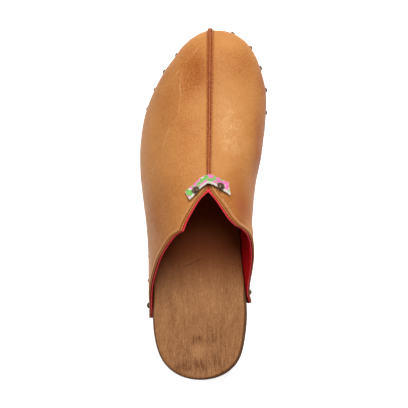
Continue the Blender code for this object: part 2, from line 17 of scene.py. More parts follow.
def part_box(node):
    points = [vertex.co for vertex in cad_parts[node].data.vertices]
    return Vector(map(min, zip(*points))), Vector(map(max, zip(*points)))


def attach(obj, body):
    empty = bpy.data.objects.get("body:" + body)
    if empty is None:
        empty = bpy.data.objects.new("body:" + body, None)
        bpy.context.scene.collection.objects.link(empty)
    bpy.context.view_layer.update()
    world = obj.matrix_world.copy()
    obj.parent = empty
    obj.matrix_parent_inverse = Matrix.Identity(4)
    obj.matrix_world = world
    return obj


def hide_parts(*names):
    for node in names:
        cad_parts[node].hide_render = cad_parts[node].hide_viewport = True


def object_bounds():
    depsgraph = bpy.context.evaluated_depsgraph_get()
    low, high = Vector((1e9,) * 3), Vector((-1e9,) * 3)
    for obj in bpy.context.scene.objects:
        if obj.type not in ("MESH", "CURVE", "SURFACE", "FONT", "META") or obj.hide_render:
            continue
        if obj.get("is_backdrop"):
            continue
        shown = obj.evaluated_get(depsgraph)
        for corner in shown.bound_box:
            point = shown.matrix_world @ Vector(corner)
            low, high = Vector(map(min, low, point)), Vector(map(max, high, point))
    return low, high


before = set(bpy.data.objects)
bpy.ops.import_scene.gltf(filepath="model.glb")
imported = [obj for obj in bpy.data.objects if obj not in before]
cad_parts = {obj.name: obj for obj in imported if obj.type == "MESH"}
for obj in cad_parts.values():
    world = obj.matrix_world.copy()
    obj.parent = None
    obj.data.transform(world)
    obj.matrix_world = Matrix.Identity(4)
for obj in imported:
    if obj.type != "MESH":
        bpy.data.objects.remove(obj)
cad_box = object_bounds()

MM = 0.001
BODY = "root"
SIDES = {"lateral": -1.0, "medial": 1.0}


def table(columns, *rows):
    """A short table, whose columns are used by name."""
    Row = namedtuple("Row", columns)
    return [Row(*row) for row in rows]


# ------------------------------ the shoe's own sizes

WALL = 2.4  # leather and lining together
GAP = 0.3  # between pieces that lie on each other, as in the model
EDGE_ROUND = 2.8
GROUND_ROUND = 2.0
SIDE_TAPER = 1.5
MARGIN = 12.0  # leather that lies on the side of the sole
HEEL_CENTRE = 34.0
TOE_CENTRE = 216.0
THROAT = 143.0  # station of the throat's point
TOE_TIP = 263.3
FAN_START = 175.0
FAN_REACH = 60.0

# Each at the throat and at the toe.
SEAM_AT = (6.0, 7.6)
RIDGE_HALF = (0.9, 1.9)
RIDGE_HIGH = (1.0, 2.0)

OUTLINE = table(
    "station lateral medial",
    (5.0, -18.8, 19.2),
    (14.0, -28.2, 28.4),
    (30.0, -34.2, 33.4),
    (50.0, -36.0, 35.2),
    (80.0, -35.1, 32.4),
    (108.0, -35.7, 30.0),
    (130.0, -38.1, 30.8),
    (150.0, -40.3, 35.0),
    (175.0, -41.0, 42.0),
    (200.0, -38.0, 46.0),
    (218.0, -31.5, 46.4),
    (233.0, -23.6, 43.0),
    (245.0, -14.2, 38.3),
    (254.5, -4.4, 30.4),
)
HEEL_POINT = (0.0, 0.0)
TOE_POINT = (12.8, 261.0)

LEVELS = table(
    "station rim dish ground",
    (0.0, 45.0, 2.0, 0.0),
    (15.0, 44.6, 2.6, 0.0),
    (35.0, 44.0, 3.4, 0.0),
    (60.0, 42.8, 3.0, 0.0),
    (68.0, 42.2, 2.7, 9.0),
    (85.0, 40.4, 2.2, 15.5),
    (105.0, 37.4, 1.6, 17.0),
    (125.0, 33.4, 1.2, 13.5),
    (145.0, 29.6, 1.0, 5.6),
    (162.0, 27.4, 1.0, 0.0),
    (185.0, 26.2, 1.2, 0.0),
    (205.0, 26.6, 1.4, 0.0),
    (222.0, 28.2, 1.6, 1.6),
    (240.0, 30.8, 1.4, 6.0),
    (260.6, 34.4, 0.8, 12.5),
)

SECTIONS = table(
    "station crest swell_lateral swell_medial high_lateral high_medial full_lateral full_medial",
    (46.0, 108.0, 0.0, 0.3, 8.0, 9.0, 1.75, 1.80),
    (64.0, 108.0, 0.4, 0.8, 8.0, 11.0, 1.75, 1.80),
    (73.0, 108.0, 0.9, 2.2, 8.0, 16.0, 1.78, 1.80),
    (82.0, 107.6, 1.2, 4.6, 8.0, 24.0, 1.80, 1.85),
    (95.0, 106.6, 1.4, 6.6, 10.0, 33.0, 1.85, 1.90),
    (108.0, 104.5, 1.5, 6.8, 12.0, 36.0, 1.85, 1.95),
    (125.0, 100.5, 1.5, 6.6, 12.0, 31.0, 1.90, 2.00),
    (143.0, 94.5, 1.7, 5.2, 13.0, 24.0, 2.00, 2.10),
    (165.0, 85.0, 1.9, 3.0, 13.0, 18.0, 2.10, 2.20),
    (187.0, 75.5, 1.5, 1.2, 12.0, 14.0, 2.10, 2.25),
    (210.0, 67.0, 0.8, 0.5, 10.0, 10.0, 2.15, 2.30),
    (235.0, 60.5, 0.4, 0.1, 8.0, 8.0, 2.20, 2.30),
    (263.3, 54.5, 0.3, 0.1, 7.0, 7.0, 2.30, 2.30),
)
LOW_PART = 0.3  # the share of a section's climb that is spent below its widest place

# The throat's edge in plan, from its corner with the collar towards the throat's point.
EDGE = "station across"
THROAT_EDGE = {
    "lateral": table(EDGE, (113.0, -14.7), (119.0, -12.4), (128.0, -7.5), (137.0, -1.6)),
    "medial": table(EDGE, (117.0, 28.2), (122.0, 23.1), (128.0, 18.9), (137.0, 12.4)),
}
# The collar from the leather's end at the back to that corner, above the sole's edge.
RISE = "station height"
COLLAR = {
    "lateral": table(
        RISE,
        (46.5, -6.0),
        (51.0, -1.0),
        (57.0, 4.0),
        (66.0, 12.2),
        (76.0, 22.5),
        (86.0, 33.2),
        (96.0, 44.6),
        (104.0, 53.2),
        (109.0, 58.0),
    ),
    "medial": table(
        RISE,
        (58.0, -6.0),
        (61.0, -1.5),
        (66.0, 3.0),
        (73.0, 9.6),
        (82.0, 18.6),
        (92.0, 28.6),
        (102.0, 38.6),
        (109.0, 46.8),
        (114.0, 54.6),
    ),
}
CORNER = {side: THROAT_EDGE[side][0].station for side in SIDES}
LEATHER_END = {side: COLLAR[side][0].station for side in SIDES}
END_LIFT = 2.4
END_LIFT_START = 66.0
END_LIFT_LENGTH = 8.0

PATCH_FRONT = 149.8
PATCH_BEND = 5.0
PATCH_SLOPE = {"lateral": 1.08, "medial": 0.64}
PATCH_THICK = 1.6
PATCH_CURL = 2.2
PATCH_CURL_FROM = 0.35
PATCH_TENT = 5.5
PATCH_SLANT = {"lateral": 1.9, "medial": -5.8}
PATCH_BAND = table("reach wide", (-15.0, 7.4), (-10.0, 6.3), (0.0, 7.0), (8.0, 6.9), (14.4, 7.8))
PATCH_ENDS = {"lateral": PATCH_BAND[0].reach, "medial": PATCH_BAND[-1].reach}

TOE_TACKS = {"lateral": 5, "medial": 6}
TOE_TACK_SPACING = {"lateral": 15.5, "medial": 17.0}
REAR_TACK_SPACING = 19.0
LAST_TACK = {"lateral": 56.0, "medial": 66.0}
TACK_ABOVE_MARGIN = 5.5
TACK_RADIUS = 2.4
TACK_HIGH = 1.7
RIVET_RADIUS = 3.1
RIVET_HIGH = 1.7
RIVET_REACH = {"lateral": -10.0, "medial": 9.0}
RIVET_SHARE = -0.25
RIVET_SEAT = 1.0

# How finely a section is searched for a place on it, as in the model.
THROAT_SAMPLES = 400
COLLAR_SAMPLES = 800
PATCH_SAMPLES = 200

# ------------------------------ sizes that only the looks need

LEATHER_THICK = 1.6
LINING_FROM = 1.72  # depth of the lining's outer face under the leather's
EDGE_SETBACK = 1.1  # the leather's grain side ends this far before the wall's top line
LINING_PROUD = 1.5  # how far the lining sticks out past that line
EDGE_APEX = 147.5  # station where the two sides' cut edges meet
APEX_SETBACK = 2.25  # the grain side's setback at the throat's point
SETBACK_EASES = 5.0  # over this length behind the throat's point
COLUMN_STEP = 1.15
# Of that step, on the way to the apex, the throat's point, the corner and the leather's end.
STEP_SHARES = (1.0, 0.5, 0.65, 0.7)
LEATHER_ROWS = 96
ROW_BIAS = 1.22  # above 1 the rows lie closer together towards the top
LINING_ROWS = 48
SECTION_SAMPLES = 600
RIDGE_GROOVE_AT = 0.47  # the dark line's place on the ridge, as a share of its half width

# The leather's cut edge in section: how far out from the last row, and how deep.
EDGE_PROFILE = table(
    "out deep",
    (0.24, 0.05),
    (0.42, 0.2),
    (0.5, 0.42),
    (0.6, 0.54),
    (0.9, 0.6),
    (1.25, 0.66),
    (1.5, 0.78),
    (1.6, 1.0),
    (1.6, 1.3),
    (1.48, 1.52),
)
EDGE_REACH = max(row.out for row in EDGE_PROFILE)
# The lining's edge in section: how deep, and how far back from its top line.
LINING_RIM = table("deep back", (1.72, 0.12), (1.9, 0.0), (2.22, 0.0), (2.4, 0.12))


# ------------------------------ curves


def monotone(stations, values):
    """A smooth curve through the rows of a table that never overshoots them."""
    at = np.array(stations, float)
    value = np.array(values, float)
    step = np.diff(at)
    slope = np.diff(value) / step
    tangent = np.concatenate([slope[:1], np.zeros(len(at) - 2), slope[-1:]])
    for i in range(1, len(at) - 1):
        if slope[i - 1] * slope[i] > 0.0:
            before = 2.0 * step[i] + step[i - 1]
            after = step[i] + 2.0 * step[i - 1]
            tangent[i] = (before + after) / (before / slope[i - 1] + after / slope[i])

    def curve(where):
        where = np.clip(where, at[0], at[-1])
        i = np.clip(np.searchsorted(at, where) - 1, 0, len(step) - 1)
        t = (where - at[i]) / step[i]
        rise = t * t * (3.0 - 2.0 * t)
        leave = t * (1.0 - t) ** 2 * step[i] * tangent[i]
        arrive = t * t * (1.0 - t) * step[i] * tangent[i + 1]
        return value[i] + rise * (value[i + 1] - value[i]) + leave - arrive

    return curve


def curves(rows):
    """A smooth curve for each column of a table but the first, by name, along the first."""
    at, *columns = zip(*rows)
    return {name: monotone(at, column) for name, column in zip(rows[0]._fields[1:], columns)}


def longer_curve(rows, station, value):
    """A smooth curve through a table of two columns and one more row after it."""
    stations, values = zip(*rows, (station, value))
    return monotone(stations, values)


def closed_spline(knots, per_span):
    """Points along a closed curve with no kink through the knots."""
    knots = np.array(knots, float)
    following = np.roll(knots, -1, axis=0)
    span = np.linalg.norm(following - knots, axis=1)
    before = np.roll(span, 1)
    one = np.eye(len(knots))
    system = one * (before + span)[:, None] / 3.0
    system += np.roll(one, -1, axis=1) * before[:, None] / 6.0
    system += np.roll(one, 1, axis=1) * span[:, None] / 6.0
    slope = (following - knots) / span[:, None]
    bend = np.linalg.solve(system, slope - np.roll(slope, 1, axis=0))
    t = np.linspace(0.0, 1.0, per_span, endpoint=False)[:, None]
    points = []
    for a, b, m, n, long in zip(knots, following, bend, np.roll(bend, -1, axis=0), span):
        curved = ((1.0 - t) ** 3 - (1.0 - t)) * m + (t**3 - t) * n
        points.append((1.0 - t) * a + t * b + curved * long**2 / 6.0)
    return np.concatenate(points)


def unit(vectors):
    return vectors / np.linalg.norm(vectors, axis=-1, keepdims=True)


def lengths(path):
    """How far along a path each of its points lies."""
    steps = np.linalg.norm(np.diff(path, axis=0), axis=1)
    return np.concatenate([[0.0], np.cumsum(steps)])


def smooth_step(value, low, high):
    share = np.clip((np.asarray(value, float) - low) / (high - low), 0.0, 1.0)
    return share * share * (3.0 - 2.0 * share)


def bell(distance, wide):
    """A soft bump: 1 at the middle, and nearly 0 at twice its width."""
    return np.exp(-((np.asarray(distance) / wide) ** 2))


def soft_noise(points, size, seed):
    """Smooth unevenness from -1 to 1 at each point, in bumps of about the given size."""
    offset = Vector((seed * 17.3, seed * 5.1, seed * 9.7))
    return np.array([noise.noise(Vector(point) / size + offset) for point in points])


def along_path(points, path):
    """How far each point is from a path, and how far along the path its nearest place lies."""
    nearest = np.full(len(points), np.inf)
    along = np.zeros(len(points))
    for a, b, before in zip(path[:-1], np.diff(path, axis=0), lengths(path)):
        share = np.clip((points - a) @ b / (b @ b), 0.0, 1.0)
        distance = np.linalg.norm(points - a - share[:, None] * b, axis=1)
        closer = distance < nearest
        nearest[closer] = distance[closer]
        along[closer] = before + share[closer] * math.sqrt(b @ b)
    return nearest, along


# ------------------------------ the outline

LEVEL = curves(LEVELS)
SECTION = curves(SECTIONS)
PATCH_WIDE = curves(PATCH_BAND)["wide"]


def sole_outline():
    knots = [HEEL_POINT]
    knots += [(row.lateral, row.station) for row in OUTLINE]
    knots += [TOE_POINT]
    knots += [(row.medial, row.station) for row in reversed(OUTLINE)]
    return closed_spline(knots, 60)


OUTLINE_LOOP = sole_outline()


def outline_halves():
    """The outline's two sides, each from the back of the heel to the tip of the toe."""
    loop = np.roll(OUTLINE_LOOP, -int(np.argmin(OUTLINE_LOOP[:, 1])), axis=0)
    toe = int(np.argmax(loop[:, 1]))
    medial = np.vstack([loop[toe:], loop[:1]])[::-1]
    return {"lateral": loop[: toe + 1], "medial": medial}


HALVES = outline_halves()
HEEL_END, TOE_END = HALVES["lateral"][[0, -1], 1]


def sole_across(side, station):
    half = HALVES[side]
    return float(np.interp(station, half[:, 1], half[:, 0]))


def sole_edge(station):
    """The height where the sole's rounded edge turns into its side."""
    return LEVEL["rim"](station) - EDGE_ROUND


def frame_shift():
    """What to add to a place in the shoe's own plan, in millimetres, to be in the frame."""
    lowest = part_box("sole")[0]
    return np.array([lowest.x / MM - OUTLINE_LOOP[:, 0].min(), lowest.y / MM - HEEL_END, 0.0])


SHIFT = frame_shift()


# ------------------------------ the upper's own surface


def towards_toe(ends, station, beyond=False):
    """A size that changes evenly from the throat to the toe."""
    share = (station - THROAT) / (TOE_TIP - THROAT)
    share = share if beyond else min(max(share, 0.0), 1.0)
    return ends[0] + share * (ends[1] - ends[0])


def seam_across(station):
    return towards_toe(SEAM_AT, station, beyond=True)


def leather_foot(side):
    """The leather's foot in plan, by distance from the seam round the toe."""
    along = unit(np.roll(OUTLINE_LOOP, -1, axis=0) - np.roll(OUTLINE_LOOP, 1, axis=0))
    outward = np.stack([-along[:, 1], along[:, 0]], axis=1)
    loop = OUTLINE_LOOP + outward * (GAP + WALL)
    beside = np.where(loop[:, 1] > TOE_CENTRE, abs(loop[:, 0] - SEAM_AT[1]), np.inf)
    loop = np.roll(loop, -int(np.argmin(beside)), axis=0)
    loop = loop[::-1] if side == "lateral" else loop
    loop = loop[: len(loop) // 2]
    return {"run": lengths(loop), "across": loop[:, 0], "station": loop[:, 1]}


FOOT = {side: leather_foot(side) for side in SIDES}


def run_at(side, station):
    """The distance along the leather's foot from the seam to a station behind the toe."""
    foot = FOOT[side]
    behind = foot["station"] <= TOE_CENTRE
    return float(np.interp(-station, -foot["station"][behind], foot["run"][behind]))


def foot_at(side, run):
    """The foot's place and its outward direction at a distance from the seam."""
    foot = FOOT[side]

    def place(where):
        return np.array([np.interp(where, foot["run"], foot[name]) for name in ("across", "station")])

    along = unit(place(run + 0.5) - place(run - 0.5))
    return place(run), np.array([along[1], -along[0]]) * -SIDES[side]


def spine_station(station):
    """The station on the seam that a section leads to."""
    if station <= FAN_START:
        return station
    return FAN_START + FAN_REACH * (1.0 - math.exp((FAN_START - station) / FAN_REACH))


def end_lift(side, station):
    if side == "lateral" or station > END_LIFT_START:
        return 0.0
    return END_LIFT * ((END_LIFT_START - station) / END_LIFT_LENGTH) ** 1.5


def last_points(side, run, climbs):
    """Points up one section of the leather's outer face.

    A climb of -1 is the leather's lower edge, 0 is the sole's edge and 1 is the crest.
    """
    climbs = np.atleast_1d(climbs)
    foot, outward = foot_at(side, run)
    station = foot[1]
    spine = spine_station(station)
    crest = np.array([seam_across(spine) + SIDES[side] * towards_toe(RIDGE_HALF, spine), spine])
    reach = np.linalg.norm(crest - foot)
    inward = (crest - foot) / reach
    edge = sole_edge(station)
    swell = SECTION["swell_" + side](station)
    widest = edge + SECTION["high_" + side](station)
    power = 2.0 / SECTION["full_" + side](station)

    low = np.clip(climbs / LOW_PART, 0.0, 1.0)
    turn = np.clip((climbs - LOW_PART) / (1.0 - LOW_PART), 0.0, 1.0) * math.pi / 2.0
    over = 1.0 - np.cos(turn) ** power
    inset = -swell * np.sin(low * math.pi / 2.0) + (reach + swell) * over
    plan = foot + inset[:, None] * inward
    top = SECTION["crest"](plan[:, 1])
    height = edge + low * (widest - edge) + (top - widest) * np.sin(turn) ** power
    height = np.where(climbs < 0.0, edge + climbs * MARGIN, height)
    lift = end_lift(side, station) * np.clip(climbs + 1.0, 0.0, 1.0)
    return np.column_stack([plan + lift[:, None] * outward, height])


def above_sole(points):
    """How far points are above the sole's upper edge."""
    return points[..., 2] - sole_edge(points[..., 1])


def throat_climb(side, station):
    """The climb at which a section behind the throat's point meets the throat's edge."""
    start = seam_across(THROAT) + SIDES[side] * towards_toe(RIDGE_HALF, THROAT)
    across = longer_curve(THROAT_EDGE[side], THROAT, start)(station)
    climbs = np.linspace(LOW_PART, 1.0, THROAT_SAMPLES)
    points = last_points(side, run_at(side, station), climbs)
    return float(np.interp(-SIDES[side] * across, -SIDES[side] * points[:, 0], climbs))


def collar_heights(side):
    """The collar's curve, which ends at the corner between throat and collar."""
    corner = CORNER[side]
    point = last_points(side, run_at(side, corner), throat_climb(side, corner))[0]
    return longer_curve(COLLAR[side], corner, above_sole(point))


COLLAR_HEIGHT = {side: collar_heights(side) for side in SIDES}


def top_climb(side, station):
    """The climb at which the leather ends, for any station."""
    if station >= THROAT:
        return 1.0
    if station >= CORNER[side]:
        return throat_climb(side, station)
    climbs = np.linspace(-1.0, 1.0, COLLAR_SAMPLES)
    points = last_points(side, run_at(side, station), climbs)
    return float(np.interp(sole_edge(station) + COLLAR_HEIGHT[side](station), points[:, 2], climbs))


# ------------------------------ meshes


def loft(loops, open_ends=False):
    """Vertices and faces of a tube through closed loops with the same even number of points."""
    loops = np.asarray(loops, float)
    count, around = loops.shape[:2]
    index = np.arange(count * around).reshape(count, around)
    beside = np.roll(index, -1, axis=1)
    faces = np.stack([index[:-1], beside[:-1], beside[1:], index[1:]], axis=-1).reshape(-1, 4)
    if not open_ends:
        half = np.arange(around // 2 - 1)
        for ring, turn in ((index[0], -1), (index[-1], 1)):
            cap = np.stack([ring[half], ring[half + 1], ring[-2 - half], ring[-1 - half]], axis=-1)
            faces = np.vstack([faces, cap[:, ::turn]])
    return loops.reshape(-1, 3), faces


def facing_out(points, faces):
    """The faces turned so that the closed shape has a positive volume."""
    a, b, c, d = (points[faces[:, i]] for i in range(4))
    volume = np.einsum("ij,ij->i", a, np.cross(b, c) + np.cross(c, d)).sum()
    return faces if volume > 0.0 else faces[:, ::-1]


def merge_points(mesh):
    """Make points in the same place one, so that the shape is closed."""
    shape = bmesh.new()
    shape.from_mesh(mesh)
    bmesh.ops.remove_doubles(shape, verts=shape.verts, dist=1e-6)
    shape.to_mesh(mesh)
    shape.free()


def place_object(name, data):
    thing = bpy.data.objects.new(name, data)
    bpy.context.scene.collection.objects.link(thing)
    return thing


def add_piece(name, shapes, finish, values=None, sharp=60.0, merge=False):
    """Make one piece of closed shapes given in millimetres, and let it ride with the frame."""
    points = []
    faces = []
    count = 0
    for shape_points, shape_faces in shapes:
        faces.append(facing_out(shape_points, shape_faces) + count)
        points.append(shape_points)
        count += len(shape_points)
    points = (np.vstack(points) + SHIFT) * MM
    mesh = bpy.data.meshes.new(name)
    mesh.from_pydata(points.tolist(), [], np.vstack(faces).tolist())
    for label, numbers in (values or {}).items():
        layer = mesh.attributes.new(label, "FLOAT", "POINT")
        layer.data.foreach_set("value", np.asarray(numbers, np.float32).ravel())
    if merge:
        merge_points(mesh)
    mesh.shade_smooth()
    mesh.set_sharp_from_angle(angle=math.radians(sharp))
    mesh.materials.append(finish)
    piece = place_object(name, mesh)
    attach(piece, BODY)
    return piece


# ------------------------------ finishes

LIGHT_LEVEL = 1.75  # the light on the shoe, where 1 would show a base colour as it is


def srgb(red, green, blue):
    """The base colour of a surface that looks like this, in 0 to 255 values, in this light."""
    shares = [value / 255.0 for value in (red, green, blue)]
    linear = [v / 12.92 if v <= 0.04045 else ((v + 0.055) / 1.055) ** 2.4 for v in shares]
    return [value / LIGHT_LEVEL for value in linear]


class Finish:
    """A material's nodes, with short calls for the few kinds that the finishes need."""

    def __init__(self, name, **sockets):
        self.material = bpy.data.materials.new(name)
        self.material.use_nodes = True
        self.tree = self.material.node_tree
        self.surface = self.tree.nodes["Principled BSDF"]
        for socket, value in sockets.items():
            self.surface.inputs[socket.replace("_", " ")].default_value = value
        self.place = self.add("ShaderNodeTexCoord").outputs["Object"]

    def add(self, kind, **settings):
        node = self.tree.nodes.new(kind)
        for setting, value in settings.items():
            setattr(node, setting, value)
        return node

    def put(self, socket, value):
        """Give an input a link, a colour or a number."""
        if isinstance(value, bpy.types.NodeSocket):
            self.tree.links.new(value, socket)
        elif isinstance(value, (list, tuple)) and socket.type == "RGBA":
            socket.default_value = (*value[:3], 1.0)
        else:
            socket.default_value = value

    def put_all(self, node, values):
        for socket, value in zip(node.inputs, values):
            self.put(socket, value)

    def layer(self, name):
        return self.add("ShaderNodeAttribute", attribute_name=name).outputs["Fac"]

    def math(self, operation, *values, clamp=False):
        node = self.add("ShaderNodeMath", operation=operation, use_clamp=clamp)
        self.put_all(node, values)
        return node.outputs[0]

    def times(self, one, other):
        return self.math("MULTIPLY", one, other)

    def plus(self, one, other):
        return self.math("ADD", one, other)

    def minus(self, one, other):
        return self.math("SUBTRACT", one, other)

    def total(self, level, *parts):
        """A level with some values added to it, each by its own weight."""
        for value, weight in parts:
            level = self.plus(level, self.times(value, weight))
        return level

    def vector(self, operation, *values):
        node = self.add("ShaderNodeVectorMath", operation=operation)
        self.put_all(node, values)
        return node.outputs["Value" if operation in ("DOT_PRODUCT", "DISTANCE") else "Vector"]

    def ramp(self, value, low, high, start=0.0, end=1.0):
        """A smooth change from start, where the value is low, to end, where it is high."""
        node = self.add("ShaderNodeMapRange", interpolation_type="SMOOTHSTEP")
        self.put_all(node, (value, low, high, start, end))
        return node.outputs[0]

    def band(self, value, middle, half):
        """1 where the value is at the middle, and 0 from a half width away."""
        return self.ramp(self.math("ABSOLUTE", self.minus(value, middle)), 0.0, half, 1.0, 0.0)

    def noise(self, size, detail=3.0, stretch=(1.0, 1.0, 1.0), rough=0.5):
        """Noise with features of about the given size in millimetres."""
        node = self.add("ShaderNodeTexNoise")
        across = [1.0 / (size * MM * s) for s in stretch]
        self.put(node.inputs["Vector"], self.vector("MULTIPLY", self.place, across))
        node.inputs["Scale"].default_value = 1.0
        node.inputs["Detail"].default_value = detail
        node.inputs["Roughness"].default_value = rough
        return node.outputs["Fac"]

    def wobble(self, size):
        """Three values from 0 to 1 that wander from place to place."""
        node = self.add("ShaderNodeTexNoise")
        self.put(node.inputs["Vector"], self.place)
        node.inputs["Scale"].default_value = 1.0 / (size * MM)
        return node.outputs["Color"]

    def cells(self, size, place, output="Distance", feature="F1"):
        node = self.add("ShaderNodeTexVoronoi", feature=feature)
        self.put(node.inputs["Vector"], place)
        node.inputs["Scale"].default_value = 1.0 / (size * MM)
        return node.outputs[output]

    def mix(self, share, one, other):
        node = self.add("ShaderNodeMix", data_type="RGBA", blend_type="MIX")
        self.put(node.inputs[0], share)
        self.put(node.inputs[6], one)
        self.put(node.inputs[7], other)
        return node.outputs[2]

    def fade(self, value, low, high, one, other):
        """One colour where the value is low, and the other where it is high."""
        return self.mix(self.ramp(value, low, high), one, other)

    def wavy_plan(self, size, reach):
        """The place in plan, pushed about a little so that lines drawn on it aren't straight."""
        most = (reach * MM,) * 3
        centre = (-0.5 * reach * MM,) * 3
        push = self.vector("MULTIPLY_ADD", self.wobble(size), most, centre)
        return self.vector("MULTIPLY", self.vector("ADD", self.place, push), (1.0, 1.0, 0.0))

    def near_line(self, plan, mark):
        """A mark's strength on the straight line between its two ends, and 0 beside it."""
        a, b = ((Vector((*place, 0.0)) + Vector(SHIFT)) * MM for place in (mark.start, mark.end))
        from_start = self.vector("SUBTRACT", plan, (a.x, a.y, 0.0))
        along = Vector((b.x - a.x, b.y - a.y, 0.0))
        share = self.vector("DOT_PRODUCT", from_start, along / along.length_squared)
        scaled = self.add("ShaderNodeVectorMath", operation="SCALE")
        self.put(scaled.inputs[0], along)
        self.put(scaled.inputs["Scale"], self.math("MULTIPLY", share, 1.0, clamp=True))
        away = self.vector("DISTANCE", from_start, scaled.outputs[0])
        return self.ramp(away, 0.0, mark.wide * MM, mark.strong, 0.0)

    def bump(self, height, distance, under=None):
        node = self.add("ShaderNodeBump")
        node.inputs["Strength"].default_value = 1.0
        node.inputs["Distance"].default_value = distance * MM
        self.put(node.inputs["Height"], height)
        if under is not None:
            self.put(node.inputs["Normal"], under)
        return node.outputs["Normal"]

    def finish(self, colour, roughness=None, normal=None):
        looks = {"Base Color": colour, "Roughness": roughness, "Normal": normal}
        for name, value in looks.items():
            if value is not None:
                self.put(self.surface.inputs[name], value)
        return self.material


MARK = "start end wide strong"
LEATHER_SCRATCHES = table(
    MARK,
    ((-14.6, 230.4), (-15.4, 214.0), 0.75, 0.34),
    ((-15.4, 214.0), (-16.0, 200.5), 0.75, 0.26),
    ((-2.3, 250.0), (-11.6, 238.4), 0.6, 0.35),
    ((-16.8, 233.0), (-21.2, 225.0), 0.6, 0.3),
    ((-7.4, 232.8), (-10.0, 226.4), 0.6, 0.3),
    ((-22.4, 191.2), (-28.0, 176.0), 0.7, 0.3),
    ((-3.8, 172.2), (2.2, 176.2), 0.6, 0.35),
    ((-36.4, 157.6), (-32.2, 164.4), 0.6, 0.25),
)
NICK = table(MARK, ((12.6, 223.6), (14.4, 222.2), 0.5, 0.5))[0]
HOLE_PITCH = 2.9
HOLE_FROM_EDGE = 2.0
HOLE_RADIUS = 0.5
HOLES_END = 15.0  # behind here the needle's thread still shows in place of open holes
DASH_PITCH = 2.4

TAN = srgb(214, 147, 83)
TAN_PALE = srgb(240, 186, 127)
TAN_DARK = srgb(168, 90, 35)
TAN_COOL_SHEEN = srgb(162, 114, 68)
TAN_RED = srgb(170, 80, 20)
BURNISH = srgb(142, 74, 30)
SCRATCHED = srgb(236, 186, 134)
OCHRE = srgb(216, 138, 74)
OCHRE_DASH = srgb(166, 92, 44)
CUT_DARK = srgb(84, 32, 20)
FLESH = srgb(150, 98, 60)
THREAD_PALE = srgb(232, 200, 160)


def leather_finish():
    """Waxed tan leather: mottled, paler on raised lines as a painted highlight, dark and thin where
    it was cut.
    """
    make = Finish("waxed_leather", Roughness=0.5, Specular_IOR_Level=0.06)
    mottle = make.noise(9.0, 4.0, rough=0.6)
    cloud = make.noise(34.0, 3.0)
    grain = make.noise(1.3, 4.0, rough=0.7)
    pores = make.noise(0.75, 2.0, rough=0.6)
    unevenness = ((mottle, 0.8), (cloud, 0.8), (grain, 1.4), (pores, 2.0))
    # the tone layer holds painted shade and painted highlights as well as the leather's mottling
    tone = make.times(make.layer("tone"), make.ramp(mottle, 0.3, 0.7, 0.75, 1.25))
    level = make.total(tone, *((make.minus(value, 0.5), much) for value, much in unevenness))
    colour = make.fade(level, -1.3, 0.25, TAN_DARK, TAN)
    colour = make.fade(level, 0.25, 1.5, colour, TAN_PALE)
    # painted sheen: a greyer tan laid over the lateral side, where a cool light would gleam
    colour = make.mix(make.times(make.layer("cool_sheen"), 0.3), colour, TAN_COOL_SHEEN)
    # redness: a red blot, and painted shade on the medial side and beside the throat's folds
    colour = make.mix(make.ramp(make.layer("redness"), 0.0, 1.0, 0.0, 0.9), colour, TAN_RED)
    edge = make.layer("edge_mm")
    # painted highlight: the raised line along the cut edge is drawn paler
    painted_highlight_line = make.band(edge, EDGE_LINE_AT, EDGE_LINE_WIDE)
    colour = make.mix(make.times(painted_highlight_line, 0.2), colour, TAN_PALE)
    colour = make.mix(make.ramp(edge, 0.05, 0.35, 0.6, 0.0), colour, BURNISH)
    # darker and redder beside the seam: partly a burnished line, partly painted shade in the fold
    # beside the ridge
    colour = make.mix(make.ramp(make.layer("seam_mm"), 0.4, 1.7, 0.55, 0.0), colour, TAN_RED)
    plan = make.wavy_plan(7.0, 2.2)
    for scratch in LEATHER_SCRATCHES:
        broken = make.times(make.near_line(plan, scratch), make.ramp(mottle, 0.35, 0.6, 0.2, 1.0))
        colour = make.mix(broken, colour, SCRATCHED)
    colour = make.mix(make.near_line(plan, NICK), colour, BURNISH)
    hole, thread = needle_row(make, edge)
    colour = make.mix(make.times(hole, 0.9), colour, BURNISH)
    colour = make.mix(make.times(thread, 0.75), colour, THREAD_PALE)
    colour = cut_edge_colour(make, colour)
    pebble = make.cells(0.9, make.place, feature="SMOOTH_F1")
    normal = make.bump(make.plus(make.times(pebble, 0.6), make.noise(0.5, 2.0)), 0.045)
    normal = make.bump(make.noise(6.0, 4.0, rough=0.6), 0.2, under=normal)
    normal = make.bump(make.times(hole, -1.0), 0.3, under=normal)
    rough = make.ramp(make.total(mottle, (grain, 0.6)), 0.45, 1.15, 0.4, 0.6)
    return make.finish(colour, rough, normal)


def needle_row(make, edge):
    """A row of needle holes along the medial edge, and the short threads that come after them."""
    run = make.layer("edge_run")
    side = make.minus(make.math("MODULO", run, HOLE_PITCH), HOLE_PITCH / 2.0)
    deep = make.minus(edge, HOLE_FROM_EDGE)
    square = make.plus(make.math("POWER", side, 2.0), make.math("POWER", deep, 2.0))
    hole = make.ramp(make.math("SQRT", square), HOLE_RADIUS * 0.5, HOLE_RADIUS, 1.0, 0.0)
    far = make.ramp(run, HOLES_END - 1.0, HOLES_END + 1.0)
    hole = make.times(make.times(hole, make.minus(1.0, far)), make.layer("holes"))
    long = make.ramp(make.math("ABSOLUTE", side), 0.75, 1.05, 1.0, 0.0)
    thread = make.times(make.times(long, make.band(edge, HOLE_FROM_EDGE, 0.5)), far)
    return hole, make.times(thread, make.layer("holes"))


def cut_edge_colour(make, colour):
    """The colours through the leather's thickness: burnished, then the ochre step, then flesh."""
    cut = make.layer("cut")
    beat = make.math("PINGPONG", make.layer("edge_run"), DASH_PITCH / 2.0)
    step = make.mix(make.ramp(beat, 0.35, 0.75, 0.0, 0.5), OCHRE, OCHRE_DASH)
    colour = make.fade(cut, 0.01, 0.1, colour, BURNISH)
    colour = make.fade(cut, 0.3, 0.36, colour, step)
    colour = make.fade(cut, 0.5, 0.64, colour, CUT_DARK)
    return make.fade(cut, 0.95, 1.0, colour, FLESH)


